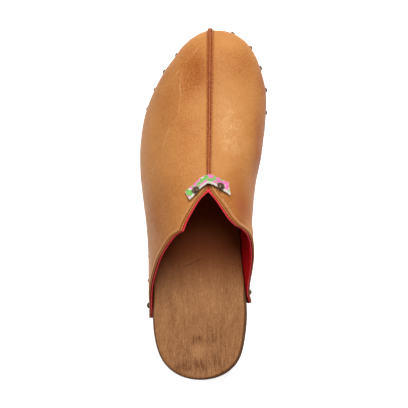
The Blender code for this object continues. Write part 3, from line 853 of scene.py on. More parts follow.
def ridge_finish():
    """Three layers on edge: an orange strip between the two sides, with dark lines beside it."""
    make = Finish("seam_edges", Roughness=0.55, Specular_IOR_Level=0.2)
    across = make.layer("across")
    away = make.math("ABSOLUTE", across)
    grain = make.noise(1.1, 3.0, rough=0.7)
    at_toe = make.ramp(make.layer("seam_run"), 20.0, 110.0, 1.0, 0.0)
    side = make.fade(grain, 0.35, 0.65, srgb(150, 68, 22), srgb(196, 112, 48))
    strip = make.fade(grain, 0.35, 0.65, srgb(158, 74, 24), srgb(206, 116, 52))
    colour = make.fade(away, RIDGE_GROOVE_AT, RIDGE_GROOVE_AT + 0.06, strip, side)
    groove = make.band(away, RIDGE_GROOVE_AT, 0.19)
    uneven = make.ramp(make.noise(2.6, 2.0), 0.35, 0.6, 0.55, 1.0)
    colour = make.mix(make.times(groove, uneven), colour, srgb(100, 38, 10))
    # painted shade along the ridge's lateral foot, where it folds into the leather, strongest at the
    # toe
    fold = make.ramp(across, -0.86, -1.02, 0.0, 1.0)
    fold_shade = make.times(fold, make.math("MULTIPLY_ADD", at_toe, 0.6, 0.25))
    colour = make.mix(fold_shade, colour, srgb(104, 50, 18))
    return make.finish(colour, normal=make.bump(make.noise(0.7, 3.0), 0.1))


def lining_finish():
    """Red suede, paler and rosier on its cut edge: partly the cut's own colour, partly a painted
    highlight on the lit top edge.
    """
    make = Finish("red_lining", Roughness=0.85, Specular_IOR_Level=0.12)
    nap = make.noise(0.8, 4.0, rough=0.7)
    colour = make.fade(nap, 0.3, 0.7, srgb(216, 5, 12), srgb(242, 14, 24))
    edge = make.fade(nap, 0.35, 0.65, srgb(250, 34, 46), srgb(255, 90, 100))
    # painted highlight in part: the rim is paler, as the top edge would be where light falls on it
    colour = make.fade(make.layer("rim"), 0.3, 0.8, colour, edge)
    return make.finish(colour, normal=make.bump(nap, 0.12))


WOOD = srgb(174, 120, 78)
WOOD_DARK = srgb(130, 82, 48)
WOOD_PALE = srgb(206, 150, 100)
WOOD_STAIN = srgb(98, 62, 40)
WOOD_MARK = srgb(70, 40, 24)
WOOD_SHADE_UNDER_INSTEP = srgb(136, 60, 2)  # painted shade, deep under the instep where the upper shades the footbed
FOOTBED_MARKS = table(
    MARK,
    ((-12.8, 84.9), (0.6, 91.2), 0.55, 0.6),
    ((-5.4, 26.4), (-5.4, 31.6), 0.6, 0.45),
    ((-0.6, 29.0), (-0.6, 32.8), 0.8, 0.5),
    ((8.3, 3.2), (8.1, 10.0), 0.45, 0.5),
)


def wood_finish():
    """Oiled wood with long fine grain, worn pale in the middle and stained dark round its rim, with
    painted shade deep under the instep.
    """
    make = Finish("oiled_wood", Roughness=0.52, Specular_IOR_Level=0.05)
    streak = make.noise(1.3, 3.0, stretch=(1.0, 12.0, 1.0), rough=0.6)
    fine = make.noise(0.5, 3.0, stretch=(1.0, 7.0, 1.0), rough=0.65)
    broad = make.noise(7.0, 3.0, stretch=(1.0, 4.0, 1.0), rough=0.55)
    speck = make.noise(0.8, 3.0, rough=0.7)
    tone = make.times(make.layer("tone"), make.ramp(streak, 0.35, 0.6, 1.4, 0.6))
    level = make.total(tone, (streak, 0.8), (fine, 1.3), (broad, 0.8), (speck, 1.6))
    colour = make.fade(level, 1.6, 2.25, WOOD_DARK, WOOD)
    colour = make.fade(level, 2.25, 2.75, colour, WOOD_PALE)
    # painted shade: darker and redder deep under the instep, where the upper shades the footbed
    colour = make.mix(make.layer("shade_under_instep"), colour, WOOD_SHADE_UNDER_INSTEP)
    rim = make.layer("rim")
    colour = make.mix(make.ramp(rim, 0.7, 1.15, 0.85, 0.0), colour, WOOD_STAIN)
    colour = make.mix(make.ramp(rim, 0.15, 0.5, 0.7, 0.0), colour, WOOD_STAIN)
    plan = make.wavy_plan(5.0, 0.6)
    for mark in FOOTBED_MARKS:
        colour = make.mix(make.near_line(plan, mark), colour, WOOD_MARK)
    rough = make.ramp(level, 0.8, 1.8, 0.62, 0.46)
    return make.finish(colour, rough, make.bump(make.plus(fine, streak), 0.1))


def patch_finish():
    """A strip of printed leather: loose pink and green blots on cream, cut pale at its edge."""
    make = Finish("printed_patch", Roughness=0.6, Specular_IOR_Level=0.25)
    warp = make.vector("MULTIPLY", make.wobble(1.1), (1.5 * MM,) * 3)
    pick = make.add("ShaderNodeSeparateColor")
    make.put(pick.inputs[0], make.cells(2.4, make.vector("ADD", make.place, warp), "Color"))
    grain = make.noise(0.6, 3.0, rough=0.7)
    pink = make.fade(grain, 0.35, 0.65, srgb(232, 84, 168), srgb(255, 150, 210))
    green = make.fade(grain, 0.35, 0.65, srgb(84, 164, 66), srgb(150, 216, 116))
    colour = make.fade(pick.outputs[0], 0.46, 0.5, pink, green)
    colour = make.fade(pick.outputs[1], 0.9, 0.94, colour, srgb(232, 214, 204))
    cut = make.fade(grain, 0.3, 0.7, srgb(248, 232, 214), srgb(255, 252, 246))
    colour = make.fade(make.layer("cut"), 0.35, 0.65, colour, cut)
    return make.finish(colour, normal=make.bump(grain, 0.12))


def thread_finish():
    make = Finish("waxed_thread", Roughness=0.6)
    colour = make.fade(make.noise(0.8, 2.0), 0.35, 0.65, srgb(176, 132, 92), srgb(206, 166, 126))
    return make.finish(colour, normal=make.bump(make.noise(0.3, 2.0), 0.1))


def bronze_finish():
    """Old bronze: dark brown, rubbed brighter in patches, with small dents."""
    make = Finish("dark_bronze", Metallic=0.8)
    wear = make.noise(1.3, 4.0, rough=0.6)
    colour = make.fade(wear, 0.35, 0.75, srgb(84, 66, 50), srgb(136, 112, 86))
    rough = make.ramp(wear, 0.3, 0.7, 0.46, 0.34)
    return make.finish(colour, rough, make.bump(make.noise(1.6, 3.0), 0.18))


# ------------------------------ the leather's two sides

BLOTCH = "across station wide long tone"
# Blotches of paler and darker leather. Most are the leather's own mottling, but some are painted
# light: painted shade where the medial side turns down (43, 180) and beside the folds right of the
# throat (20, 136), a painted highlight on the vamp right of the seam (22, 186) and a painted sheen on
# the medial toe (20, 254).
LEATHER_TONES = table(
    BLOTCH,
    (-3.0, 235.0, 11.0, 17.0, -0.9),
    (-14.0, 224.0, 16.0, 24.0, -0.3),
    (-11.0, 168.0, 11.0, 36.0, -0.25),
    (-24.0, 211.0, 10.0, 16.0, -0.3),
    (-32.0, 190.0, 10.0, 36.0, -0.2),
    (-36.0, 140.0, 10.0, 30.0, -0.1),
    (43.0, 180.0, 5.0, 30.0, -0.45),
    (31.0, 158.0, 8.0, 15.0, -0.25),
    (33.0, 238.0, 6.0, 12.0, -0.35),
    (20.0, 238.0, 9.0, 9.0, -0.3),
    (20.0, 254.0, 9.0, 5.0, 0.35),
    (22.0, 186.0, 13.0, 30.0, 0.75),
    (-30.0, 116.0, 14.0, 30.0, -0.65),
    (-26.0, 155.0, 18.0, 50.0, -0.15),
    (20.0, 136.0, 10.0, 18.0, -0.5),
)
# Redder, darker patches: the one at (32, 127) is a red blot in the leather; the rest are painted
# shade, where the medial side turns down (45, 156) and beside the folds right of the throat.
LEATHER_REDNESS = table(
    BLOTCH,
    (32.0, 127.0, 6.5, 16.0, 0.65),
    (27.0, 150.0, 8.0, 22.0, 0.3),
    (16.0, 132.0, 14.0, 18.0, 0.2),
    (45.0, 156.0, 7.0, 48.0, 0.7),
)
LOW_PAINTED_SHADE = {"lateral": 0.35, "medial": 1.2}  # painted shade: how much darker the leather is painted low on the side, where it turns down away from the light
LOW_PART_RISE = (8.0, 32.0)  # above the sole's edge, where that starts to fade and where it ends
PALE_TOE = (222.0, 248.0)  # from the first to the second station that the painted shade fades away
COOL_SHEEN_ACROSS = (4.0, 34.0)  # a painted cool sheen that grows from the middle to the lateral side

CREASE = "start end high wide"
CREASES = {
    "lateral": table(
        CREASE,
        ((2.0, 259.5), (-13.0, 251.0), 1.1, 6.0),
        ((-14.6, 231.0), (-16.4, 199.0), 0.35, 2.2),
        ((-6.0, 243.0), (-25.0, 222.0), -0.45, 4.5),
        ((-22.0, 214.0), (-30.0, 196.0), -0.4, 5.0),
        ((-33.0, 178.0), (-24.0, 160.0), -0.35, 5.0),
        ((-38.0, 150.0), (-33.0, 118.0), 0.4, 4.0),
        ((-17.0, 133.0), (-26.0, 112.0), 0.35, 4.5),
        ((-8.0, 168.0), (-20.0, 146.0), 0.3, 6.0),
    ),
    "medial": table(
        CREASE,
        ((27.0, 150.0), (36.0, 119.0), -0.9, 5.5),
        ((22.0, 146.0), (29.0, 124.0), 0.5, 4.0),
        ((28.0, 172.0), (40.0, 150.0), -0.5, 5.5),
        ((34.0, 240.0), (40.0, 214.0), -0.35, 5.0),
        ((18.0, 214.0), (30.0, 172.0), 0.3, 9.0),
        ((38.0, 205.0), (42.0, 168.0), 0.35, 4.0),
    ),
}
# The leather's unevenness: how high and how long its bumps are.
LEATHER_BUMPS = table("high size seed", (0.25, 26.0, 1), (0.1, 9.0, 2))
FREE_OF_SOLE = 8.0  # creases reach their full height this far above the sole's edge
# Lines along the cut edge or the seam: how far from it, how high or deep, and how wide.
EDGE_LINE_AT = 1.0
EDGE_LINE_HIGH = 0.2
EDGE_LINE_WIDE = 0.8
EDGE_LINE_UNEVEN = 0.5
EDGE_HOLLOW_AT = 2.9
EDGE_HOLLOW = 0.2
EDGE_HOLLOW_WIDE = 1.0
SEAM_SHOULDER = 0.35
SEAM_SHOULDER_WIDE = 1.3
SEAM_TROUGH_AT = 3.6
SEAM_TROUGH = 0.14
SEAM_TROUGH_WIDE = 1.8
TACK_DIMPLE = 0.5
TACK_DIMPLE_WIDE = 4.5
FAR = 20.0  # a distance in millimetres for places that no line is drawn on


def column_runs(side):
    """Where the sections stand along the leather's foot, and how many are before the apex."""
    stations = (EDGE_APEX, THROAT, CORNER[side], LEATHER_END[side])
    runs = [RIDGE_HALF[1]]
    in_front = 0
    for stop, share in zip((run_at(side, station) for station in stations), STEP_SHARES):
        count = math.ceil((stop - runs[-1]) / (COLUMN_STEP * share))
        runs += list(np.linspace(runs[-1], stop, count + 1)[1:])
        in_front = in_front or len(runs) - 1
    return runs, in_front


def edge_setback(station):
    """How far before the wall's top line the leather's grain side ends."""
    if station >= THROAT:
        return APEX_SETBACK * max(EDGE_APEX - station, 0.0) / (EDGE_APEX - THROAT)
    eased = float(smooth_step(THROAT - station, 0.0, SETBACK_EASES))
    return APEX_SETBACK + (EDGE_SETBACK - APEX_SETBACK) * eased


def section(side, run):
    """Points up one section of the outer face, the ways out and up, and what lies past the top."""
    station = foot_at(side, run)[0][1]
    highest = 1.0 if run < run_at(side, THROAT) else top_climb(side, station)
    setback = edge_setback(station)
    climbs = np.linspace(-1.0, highest, SECTION_SAMPLES)
    points = last_points(side, run, climbs)
    to_seam = abs(points[-1, 0] - seam_across(points[-1, 1]))
    length = lengths(points)
    shares = 1.0 - (1.0 - np.linspace(0.0, 1.0, LEATHER_ROWS)) ** ROW_BIAS
    climbs = np.interp(shares * (length[-1] - setback), length, climbs)
    step = 0.02
    higher = last_points(side, run, np.minimum(climbs + step, 1.0))
    up = unit(higher - last_points(side, run, np.maximum(climbs - step, -1.0)))
    along = last_points(side, run + 0.4, climbs) - last_points(side, run - 0.4, climbs)
    outward = unit(np.cross(up, along) * SIDES[side])
    outward[-1] = outward[-2]  # the last row stands still where the sections fan out
    if station >= THROAT:
        to_top = setback * up[-1] + np.array([-SIDES[side] * to_seam, 0.0, 0.0])
    else:
        to_top = (setback + min(to_seam, LINING_PROUD)) * up[-1]
    return {
        "plain": last_points(side, run, climbs),
        "outward": outward,
        "up": up[-1],
        "to_top": to_top,
        "cut_share": min((to_seam + setback) / EDGE_REACH, 1.0) if station < EDGE_APEX else 0.0,
    }


def tack_runs(side):
    """The tacks' distances from the seam."""
    runs = [TOE_TACK_SPACING[side] * (i + 1) for i in range(TOE_TACKS[side])]
    rest = run_at(side, LAST_TACK[side]) - runs[-1]
    count = round(rest / REAR_TACK_SPACING)
    return runs + [runs[-1] + rest * (i + 1) / count for i in range(count)]


def tack_places(side):
    """The tacks' places on the leather, each with its outward direction."""
    for run in tack_runs(side):
        foot, outward = foot_at(side, run)
        height = sole_edge(foot[1]) - MARGIN + TACK_ABOVE_MARGIN
        yield np.array([*(foot + outward * GAP), height]), np.array([*outward, 0.0])


def leather_relief(side, points, edge, seam):
    """How far the finished leather stands off the plain section, in millimetres."""
    relief = sum(bump.high * soft_noise(points, bump.size, bump.seed) for bump in LEATHER_BUMPS)
    free = smooth_step(above_sole(points), 0.0, FREE_OF_SOLE)
    for crease in CREASES[side]:
        away, _ = along_path(points[:, :2], np.array([crease.start, crease.end]))
        relief += crease.high * free * bell(away, crease.wide)
    for place, _ in tack_places(side):
        relief -= TACK_DIMPLE * bell(np.linalg.norm(points - place, axis=1), TACK_DIMPLE_WIDE)
    uneven = 1.0 + EDGE_LINE_UNEVEN * soft_noise(points, 12.0, 3)
    relief += EDGE_LINE_HIGH * uneven * bell(edge - EDGE_LINE_AT, EDGE_LINE_WIDE)
    relief -= EDGE_HOLLOW * bell(edge - EDGE_HOLLOW_AT, EDGE_HOLLOW_WIDE)
    relief += SEAM_SHOULDER * bell(seam, SEAM_SHOULDER_WIDE)
    return relief - SEAM_TROUGH * bell(seam - SEAM_TROUGH_AT, SEAM_TROUGH_WIDE)


def blotched(points, blotches):
    """The sum of soft-edged blotches at each place, in plan."""
    total = 0.0
    for blotch in blotches:
        across = (points[..., 0] - blotch.across) / blotch.wide
        along = (points[..., 1] - blotch.station) / blotch.long
        total = total + blotch.tone * np.exp(-(across**2) - along**2)
    return total


def leather_tone(side, points):
    """How much paler or darker the leather is painted at each place: painted shade low on the sides,
    and the blotches of mottling and painted light.
    """
    # painted shade low on the sides, fading away at the toe
    low = -LOW_PAINTED_SHADE[side] * (1.0 - smooth_step(above_sole(points), *LOW_PART_RISE))
    low *= 1.0 - smooth_step(points[..., 1], *PALE_TOE)
    return low + blotched(points, LEATHER_TONES)


def leather_grid(side):
    """The outer face of one side, with what its relief and its finish need."""
    runs, in_front = column_runs(side)
    sections = [section(side, run) for run in runs]
    grid = {name: np.array([part[name] for part in sections]) for name in sections[0]}
    plain = grid["plain"]
    flat = plain.reshape(-1, 3)
    edge, edge_run = along_path(flat, plain[in_front:, -1])
    seam, _ = along_path(flat, np.vstack([plain[0, :-1], plain[: in_front + 1, -1]]))
    relief = leather_relief(side, flat, edge, seam).reshape(plain.shape[:2])
    grid["face"] = plain + relief[..., None] * grid["outward"]
    grid["in_front"] = in_front
    for name, value in (("edge_mm", edge), ("edge_run", edge_run), ("seam_mm", seam)):
        grid[name] = value.reshape(plain.shape[:2])
    return grid


def edge_loops(grid):
    """The rounded cut edge along the top of every section."""
    rows = []
    for row in EDGE_PROFILE:
        reach = (row.out * grid["cut_share"])[:, None] * grid["up"]
        rows.append(grid["face"][:, -1] + reach - row.deep * grid["outward"][:, -1])
    return np.stack(rows, axis=1)


def around(face, at_edge, inside):
    """A value for every point of the closed sections: the face, the cut edge, the back."""
    edge = np.broadcast_to(at_edge, (len(face), len(EDGE_PROFILE)))
    return np.concatenate([face, edge, np.full(face.shape, inside, float)], axis=1)


def add_leather(side, grid, finish):
    plain = grid["plain"]
    shape = plain.shape[:2]
    back = plain - LEATHER_THICK * grid["outward"]
    loops = np.concatenate([grid["face"], edge_loops(grid), back[:, ::-1]], axis=1)
    deep = np.array([row.deep for row in EDGE_PROFILE]) / LEATHER_THICK
    values = {
        "edge_mm": around(grid["edge_mm"], 0.0, FAR),
        "edge_run": around(grid["edge_run"], grid["edge_run"][:, -1:], 0.0),
        "seam_mm": around(grid["seam_mm"], FAR, FAR),
        "tone": around(leather_tone(side, plain), 0.0, -0.5),
        "redness": around(np.minimum(blotched(plain, LEATHER_REDNESS), 1.0), 0.0, 0.0),
        "cool_sheen": around(smooth_step(-plain[..., 0], *COOL_SHEEN_ACROSS), 0.0, 0.0),
        "holes": around(np.full(shape, float(side == "medial")), 0.0, 0.0),
        "cut": around(np.zeros(shape), deep, 1.0),
    }
    piece = add_piece("leather_" + side, [loft(loops)], finish, values)
    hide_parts("upper")


def add_lining(side, grid, finish):
    """The red lining inside one side, which shows past the leather's cut edge."""
    rows = np.linspace(0, LEATHER_ROWS - 1, LINING_ROWS).round().astype(int)
    plain = grid["plain"][:, rows]
    outward = grid["outward"][:, rows]
    top = plain[:, -1] + grid["to_top"]
    outer = plain - LINING_FROM * outward
    beside_sole = smooth_step(sole_edge(plain[:, :1, 1]) - plain[..., 2], 0.0, 3.0)
    inner = plain - (WALL + GAP * beside_sole)[..., None] * outward
    rim = [top - row.deep * outward[:, -1] - row.back * grid["up"] for row in LINING_RIM]
    loops = np.concatenate([outer, np.stack(rim, axis=1), inner[:, ::-1]], axis=1)
    on_seam = loops[:1].copy()  # the leather starts beside the ridge, the lining goes on to the seam
    on_seam[..., 0] = seam_across(on_seam[..., 1])
    loops = np.concatenate([on_seam, loops])
    at_rim = np.zeros(loops.shape[:2])
    at_rim[:, LINING_ROWS : LINING_ROWS + len(LINING_RIM)] = 1.0
    values = {"rim": at_rim}
    piece = add_piece("lining_" + side, [loft(loops)], finish, values, merge=True)
    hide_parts("upper")


# ------------------------------ the seam's ridge and thread

RIDGE_STEP = 0.55
RIDGE_LOOK_HALF = (1.85, 1.55)  # at the toe and at the throat
RIDGE_WANDER = 0.14
# One half of the ridge in section, as shares of its half width and of its height.
RIDGE_HALF_PROFILE = table(
    "out high",
    (1.42, -0.75),
    (1.1, -0.08),
    (1.02, 0.42),
    (0.93, 0.7),
    (0.79, 0.85),
    (0.63, 0.87),
    (0.54, 0.78),
    (RIDGE_GROOVE_AT, 0.58),
    (0.42, 0.8),
    (0.3, 0.94),
    (0.1, 1.0),
)
RIDGE_UNEVEN_WIDE = 0.05
RIDGE_UNEVEN_HIGH = 0.14
OVER_TOE_POINTS = 120
ON_TOP_POINTS = 140
STITCH_PITCH = 2.7
STITCH_JITTER = 0.15  # as a share of the pitch
# How far out and how high on the ridge as shares of it, the size, and every how many pitches.
STITCHES = table(
    "out high long radius every",
    (0.98, 0.6, 1.1, 0.27, 1),
    (-1.02, 0.45, 1.0, 0.22, 2),
)


def resampled(path, count):
    length = lengths(path)
    at = np.linspace(0.0, length[-1], count)
    return np.column_stack([np.interp(at, length, path[:, i]) for i in range(3)])


def seam_frame(grids):
    """The seam's middle line from the toe's foot to the throat, with its directions and sizes."""
    paths = []
    for grid in grids.values():
        over_toe = resampled(grid["face"][0], OVER_TOE_POINTS)
        on_top = resampled(grid["face"][: grid["in_front"] + 1, -1], ON_TOP_POINTS)
        paths.append(np.vstack([over_toe[:-1], on_top]))
    middle = 0.5 * (paths[0] + paths[1])
    length = lengths(middle)[-1]
    count = int(length / RIDGE_STEP)
    middle = resampled(middle, count)
    along = unit(np.gradient(middle, axis=0))
    across = np.tile([1.0, 0.0, 0.0], (count, 1))
    up = np.cross(along, across)
    run = np.linspace(0.0, length, count)
    return {
        "middle": middle,
        "along": along,
        "across": across,
        "up": unit(up * np.sign(up[-1, 2])),
        "run": run,
        "half": np.interp(run, (0.0, length), RIDGE_LOOK_HALF),
        "high": np.array([towards_toe(RIDGE_HIGH, station) for station in middle[:, 1]]),
    }


def add_ridge(seam, finish):
    profile = [(-row.out, row.high) for row in RIDGE_HALF_PROFILE] + RIDGE_HALF_PROFILE[::-1]
    middle = seam["middle"]
    wander = RIDGE_WANDER * soft_noise(middle, 9.0, 4)
    loops = []
    for out, high in profile:
        uneven = soft_noise(middle, 3.2, 5 + (out > 0.0))
        side = (out * seam["half"] * (1.0 + RIDGE_UNEVEN_WIDE * uneven) + wander)[:, None]
        lift = (high * seam["high"] * (1.0 + RIDGE_UNEVEN_HIGH * uneven))[:, None]
        loops.append(middle + side * seam["across"] + lift * seam["up"])
    across = np.tile([out for out, high in profile], len(middle))
    values = {"across": across, "seam_run": np.repeat(seam["run"], len(profile))}
    piece = add_piece("seam_ridge", [loft(np.stack(loops, axis=1))], finish, values)
    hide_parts("upper")


def stitch(place, along, up, long, radius):
    """One short length of thread that dips at both ends."""
    side = np.cross(along, up)
    turn = np.linspace(0.0, 2.0 * math.pi, 8, endpoint=False)[:, None]
    loops = []
    for share in np.linspace(-1.0, 1.0, 7):
        thick = radius * math.sqrt(max(1.0 - share**4, 0.02))
        middle = place + along * share * long / 2.0 - up * 0.5 * radius * share**2
        loops.append(middle + thick * (np.cos(turn) * side + np.sin(turn) * up))
    return loft(loops)


def add_stitches(seam, finish):
    """Thread that comes up on both sides of the ridge."""
    shapes = []
    draw = np.random.default_rng(7)
    for i in range(1, int(seam["run"][-1] / STITCH_PITCH)):
        at = round((i + STITCH_JITTER * draw.standard_normal()) * STITCH_PITCH / RIDGE_STEP)
        at = min(max(at, 0), len(seam["run"]) - 1)
        middle, along, up = (seam[key][at] for key in ("middle", "along", "up"))
        across, half, high = (seam[key][at] for key in ("across", "half", "high"))
        for kind in STITCHES:
            if i % kind.every == kind.every - 1:
                place = middle + across * half * kind.out + up * high * kind.high
                shapes.append(stitch(place, along, up, kind.long, kind.radius))
    add_piece("seam_stitches", shapes, finish)


# ------------------------------ patch, rivets and tacks

PATCH_COLUMNS = 110
PATCH_SHARES = 20
PATCH_GAPE = 0.6  # extra lift of the rear edge just beside the seam
PATCH_GAPE_AT = -4.5
PATCH_GAPE_WIDE = 3.0
PATCH_CROWN = 0.12
PATCH_ROUNDED = 0.22  # how much lower the top is at its front and rear edges
PATCH_ROUNDS = 0.06  # over this last share of the patch's width
PATCH_BEVEL = 0.1  # how far the rear cut leans forward, as a share of the patch's width
PATCH_CUT = -0.4  # behind this share the top shows the cut's colour
PATCH_WAVE = 0.25
RIVET_SINK = 0.75  # how far a rivet's rim presses into the patch from its seat
HEAD_UNDER = 0.3  # a rivet's head is this much taller than the model's, for its rim is pressed in
TACK_SINK = 0.35
HEAD_TURNS = 24
# A head in section, as shares of its radius and of its height.
HEAD_PROFILE = table(
    "out high",
    (0.04, 0.0),
    (0.7, 0.0),
    (0.98, 0.02),
    (1.0, 0.12),
    (0.96, 0.25),
    (0.87, 0.43),
    (0.73, 0.65),
    (0.55, 0.83),
    (0.34, 0.94),
    (0.16, 0.99),
    (0.03, 1.0),
)
HEAD_OUT_OF_ROUND = 0.03
HEAD_DENT = 0.09
TACK_LEAN = 0.06


def upper_height(across, station):  # as in the model, so that the patch lies in the same place
    """The height of the leather's outer face above a place near the throat."""
    side = "medial" if across > seam_across(station) else "lateral"
    points = last_points(side, run_at(side, station), np.linspace(LOW_PART, 1.0, PATCH_SAMPLES))
    return float(np.interp(-SIDES[side] * across, -SIDES[side] * points[:, 0], points[:, 2]))


def on_upper(across, station, lift):
    """A point at a distance off the leather's outer face."""
    step = 1.0
    rise_across = upper_height(across + step, station) - upper_height(across - step, station)
    rise_along = upper_height(across, station + step) - upper_height(across, station - step)
    surface = np.array([across, station, upper_height(across, station)])
    return surface + lift * unit(np.array([-rise_across, -rise_along, 2.0 * step]))


def patch_middle(reach):
    """The patch's middle line in plan."""
    side = "lateral" if reach < 0.0 else "medial"
    back = PATCH_SLOPE[side] * (math.hypot(reach, PATCH_BEND) - PATCH_BEND)
    return np.array([seam_across(PATCH_FRONT) + reach, PATCH_FRONT - back])


def patch_lift(across, share):
    """How far the patch's underside stands off the leather; share -0.5 is its rear edge."""
    tent = towards_toe(RIDGE_HIGH, PATCH_FRONT) + GAP
    lifted = max(PATCH_CURL_FROM - share, 0.0) / (PATCH_CURL_FROM + 0.5)
    away = across - seam_across(PATCH_FRONT)
    return GAP + tent * bell(away, PATCH_TENT) + PATCH_CURL * lifted**2


def patch_point(reach, share, rise):
    """A point of the patch, at a rise above its underside."""
    along = unit(patch_middle(reach + 0.1) - patch_middle(reach - 0.1))
    side = "lateral" if reach < 0.0 else "medial"
    slant = PATCH_SLANT[side] * (reach / PATCH_ENDS[side]) ** 4
    uneven = 1.0 + 0.03 * math.sin(reach * 0.9) + 0.025 * math.sin(reach * 2.3)
    aside = np.array([-along[1], along[0]]) * PATCH_WIDE(reach) * uneven + along * slant
    across, station = patch_middle(reach) + aside * share
    return on_upper(across, station, patch_lift(across, share) + rise)


def patch_gape(reach, share):
    """The rear edge waves, and gapes most just beside the seam."""
    rear = max(-share - 0.1, 0.0) / 0.4
    wave = max(PATCH_WAVE * math.sin(reach * 0.8 + 1.0), 0.0)
    return rear**2 * (PATCH_GAPE * bell(reach - PATCH_GAPE_AT, PATCH_GAPE_WIDE) + wave)


def patch_seat(reach, share, rise):
    """A place on top of the patch, and the direction out of it."""

    def top(at, across):
        return patch_point(at, across, PATCH_THICK)

    aside = top(reach + 0.4, share) - top(reach - 0.4, share)
    outward = unit(np.cross(aside, top(reach, share + 0.05) - top(reach, share - 0.05)))
    return top(reach, share) + outward * rise, outward


def add_patch(finish):
    shares = np.linspace(-0.5, 0.5, PATCH_SHARES)
    loops = []
    for reach in np.linspace(PATCH_ENDS["lateral"], PATCH_ENDS["medial"], PATCH_COLUMNS):
        over = []
        under = []
        for share in shares:
            gape = patch_gape(reach, share)
            crown = PATCH_CROWN * math.cos(share * math.pi)
            nearing = max(abs(share) - 0.5 + PATCH_ROUNDS, 0.0) / PATCH_ROUNDS
            rise = PATCH_THICK + gape + crown - PATCH_ROUNDED * nearing**2
            over.append(patch_point(reach, share + PATCH_BEVEL * (0.5 - share), rise))
            under.append(patch_point(reach, share, gape))
        rear = 0.5 * (over[0] + under[0])
        front = 0.5 * (over[-1] + under[-1])
        loops.append([rear, *over, front, *under[::-1]])
    cuts = np.ones((PATCH_COLUMNS, 2 * PATCH_SHARES + 2))
    cuts[1:-1, 1 : PATCH_SHARES + 1] = shares < PATCH_CUT
    piece = add_piece("printed_patch", [loft(loops)], finish, {"cut": cuts}, sharp=50.0)
    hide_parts("throat_patch")


def head(place, outward, radius, high, draw):
    """A domed head, a little out of round and dented, that stands on a place."""
    turn = Vector(outward).normalized().to_track_quat("Z", "Y")
    dent = draw.uniform(-1.0, 1.0, 4)
    loops = []
    for row in HEAD_PROFILE:
        ring = []
        for angle in np.linspace(0.0, 2.0 * math.pi, HEAD_TURNS, endpoint=False):
            waver = HEAD_OUT_OF_ROUND * dent[0] * math.cos(2.0 * angle + dent[1])
            slope = HEAD_DENT * abs(dent[2]) * math.cos(angle + 3.0 * dent[3])
            out = radius * row.out * (1.0 + waver * row.out)
            up = high * row.high * (1.0 - slope * row.high)
            ring.append(turn @ Vector((out * math.cos(angle), out * math.sin(angle), up)))
        loops.append(ring)
    return loft(np.array(loops) + place)


def add_rivets(finish):
    draw = np.random.default_rng(3)
    for side, reach in RIVET_REACH.items():
        place, outward = patch_seat(reach, RIVET_SHARE, RIVET_SEAT - RIVET_SINK)
        shape = head(place, outward, RIVET_RADIUS, RIVET_HIGH + HEAD_UNDER, draw)
        piece = add_piece("rivet_head_" + side, [shape], finish)
        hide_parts("patch_rivet_" + side)


def add_tacks(finish):
    draw = np.random.default_rng(11)
    shapes = []
    for side in SIDES:
        for place, outward in tack_places(side):
            lean = np.array([0.0, 0.0, TACK_LEAN * draw.standard_normal()])
            sunk = place - outward * TACK_SINK
            shapes.append(head(sunk, outward + lean, TACK_RADIUS, TACK_HIGH + TACK_SINK, draw))
    piece = add_piece("tack_heads", shapes, finish)
    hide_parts(*[f"tack_{number:02d}" for number in range(1, len(shapes) + 1)])


# ------------------------------ sole

SOLE_STEP = 1.6
END_STATIONS = 40
# How many points each part of the sole's section is drawn with, from the top's middle down.
TOP_SHARES = 44
EDGE_TURNS = 9
COVERED_SHARES = 8
BARE_SHARES = 10
GROUND_TURNS = 5
GROUND_SHARES = 12
QUARTER_TURN = math.pi / 2.0
RIM_UNEVEN = 0.06
# The stained rim's width at its narrowest and widest, and the places between which it grows.
STAIN_WIDE = (1.3, 2.5)
STAIN_ACROSS = (-10.0, 20.0)
STAIN_FADES = (60.0, 78.0)  # the rim's stain ends where the upper covers the edge
STAIN_FADED = 0.8
SHADE_UNDER_INSTEP_ALONG = (60.0, 104.0)
MOST_SHADE_UNDER_INSTEP = 0.92
WOOD_TONES = table(
    BLOTCH,
    (0.0, 20.0, 34.0, 22.0, -0.2),
    (-2.0, 22.0, 5.5, 6.0, 0.4),
    (-1.5, 31.0, 5.0, 4.0, -0.35),
    (-13.0, 10.0, 6.0, 5.0, -0.35),
    (0.0, 11.5, 6.0, 4.5, -0.35),
    (14.0, 12.0, 6.0, 5.0, -0.25),
    (15.0, 34.0, 5.0, 14.0, -0.12),
    (4.0, 60.0, 12.0, 18.0, 0.15),
)


def sole_stations():
    ends = np.sin(np.linspace(0.0, QUARTER_TURN, END_STATIONS))
    heel = HEEL_CENTRE - (HEEL_CENTRE - HEEL_END) * ends[::-1]
    toe = TOE_CENTRE + (TOE_END - TOE_CENTRE) * ends
    between = np.linspace(HEEL_CENTRE, TOE_CENTRE, int((TOE_CENTRE - HEEL_CENTRE) / SOLE_STEP))
    return np.concatenate([heel, between[1:-1], toe])


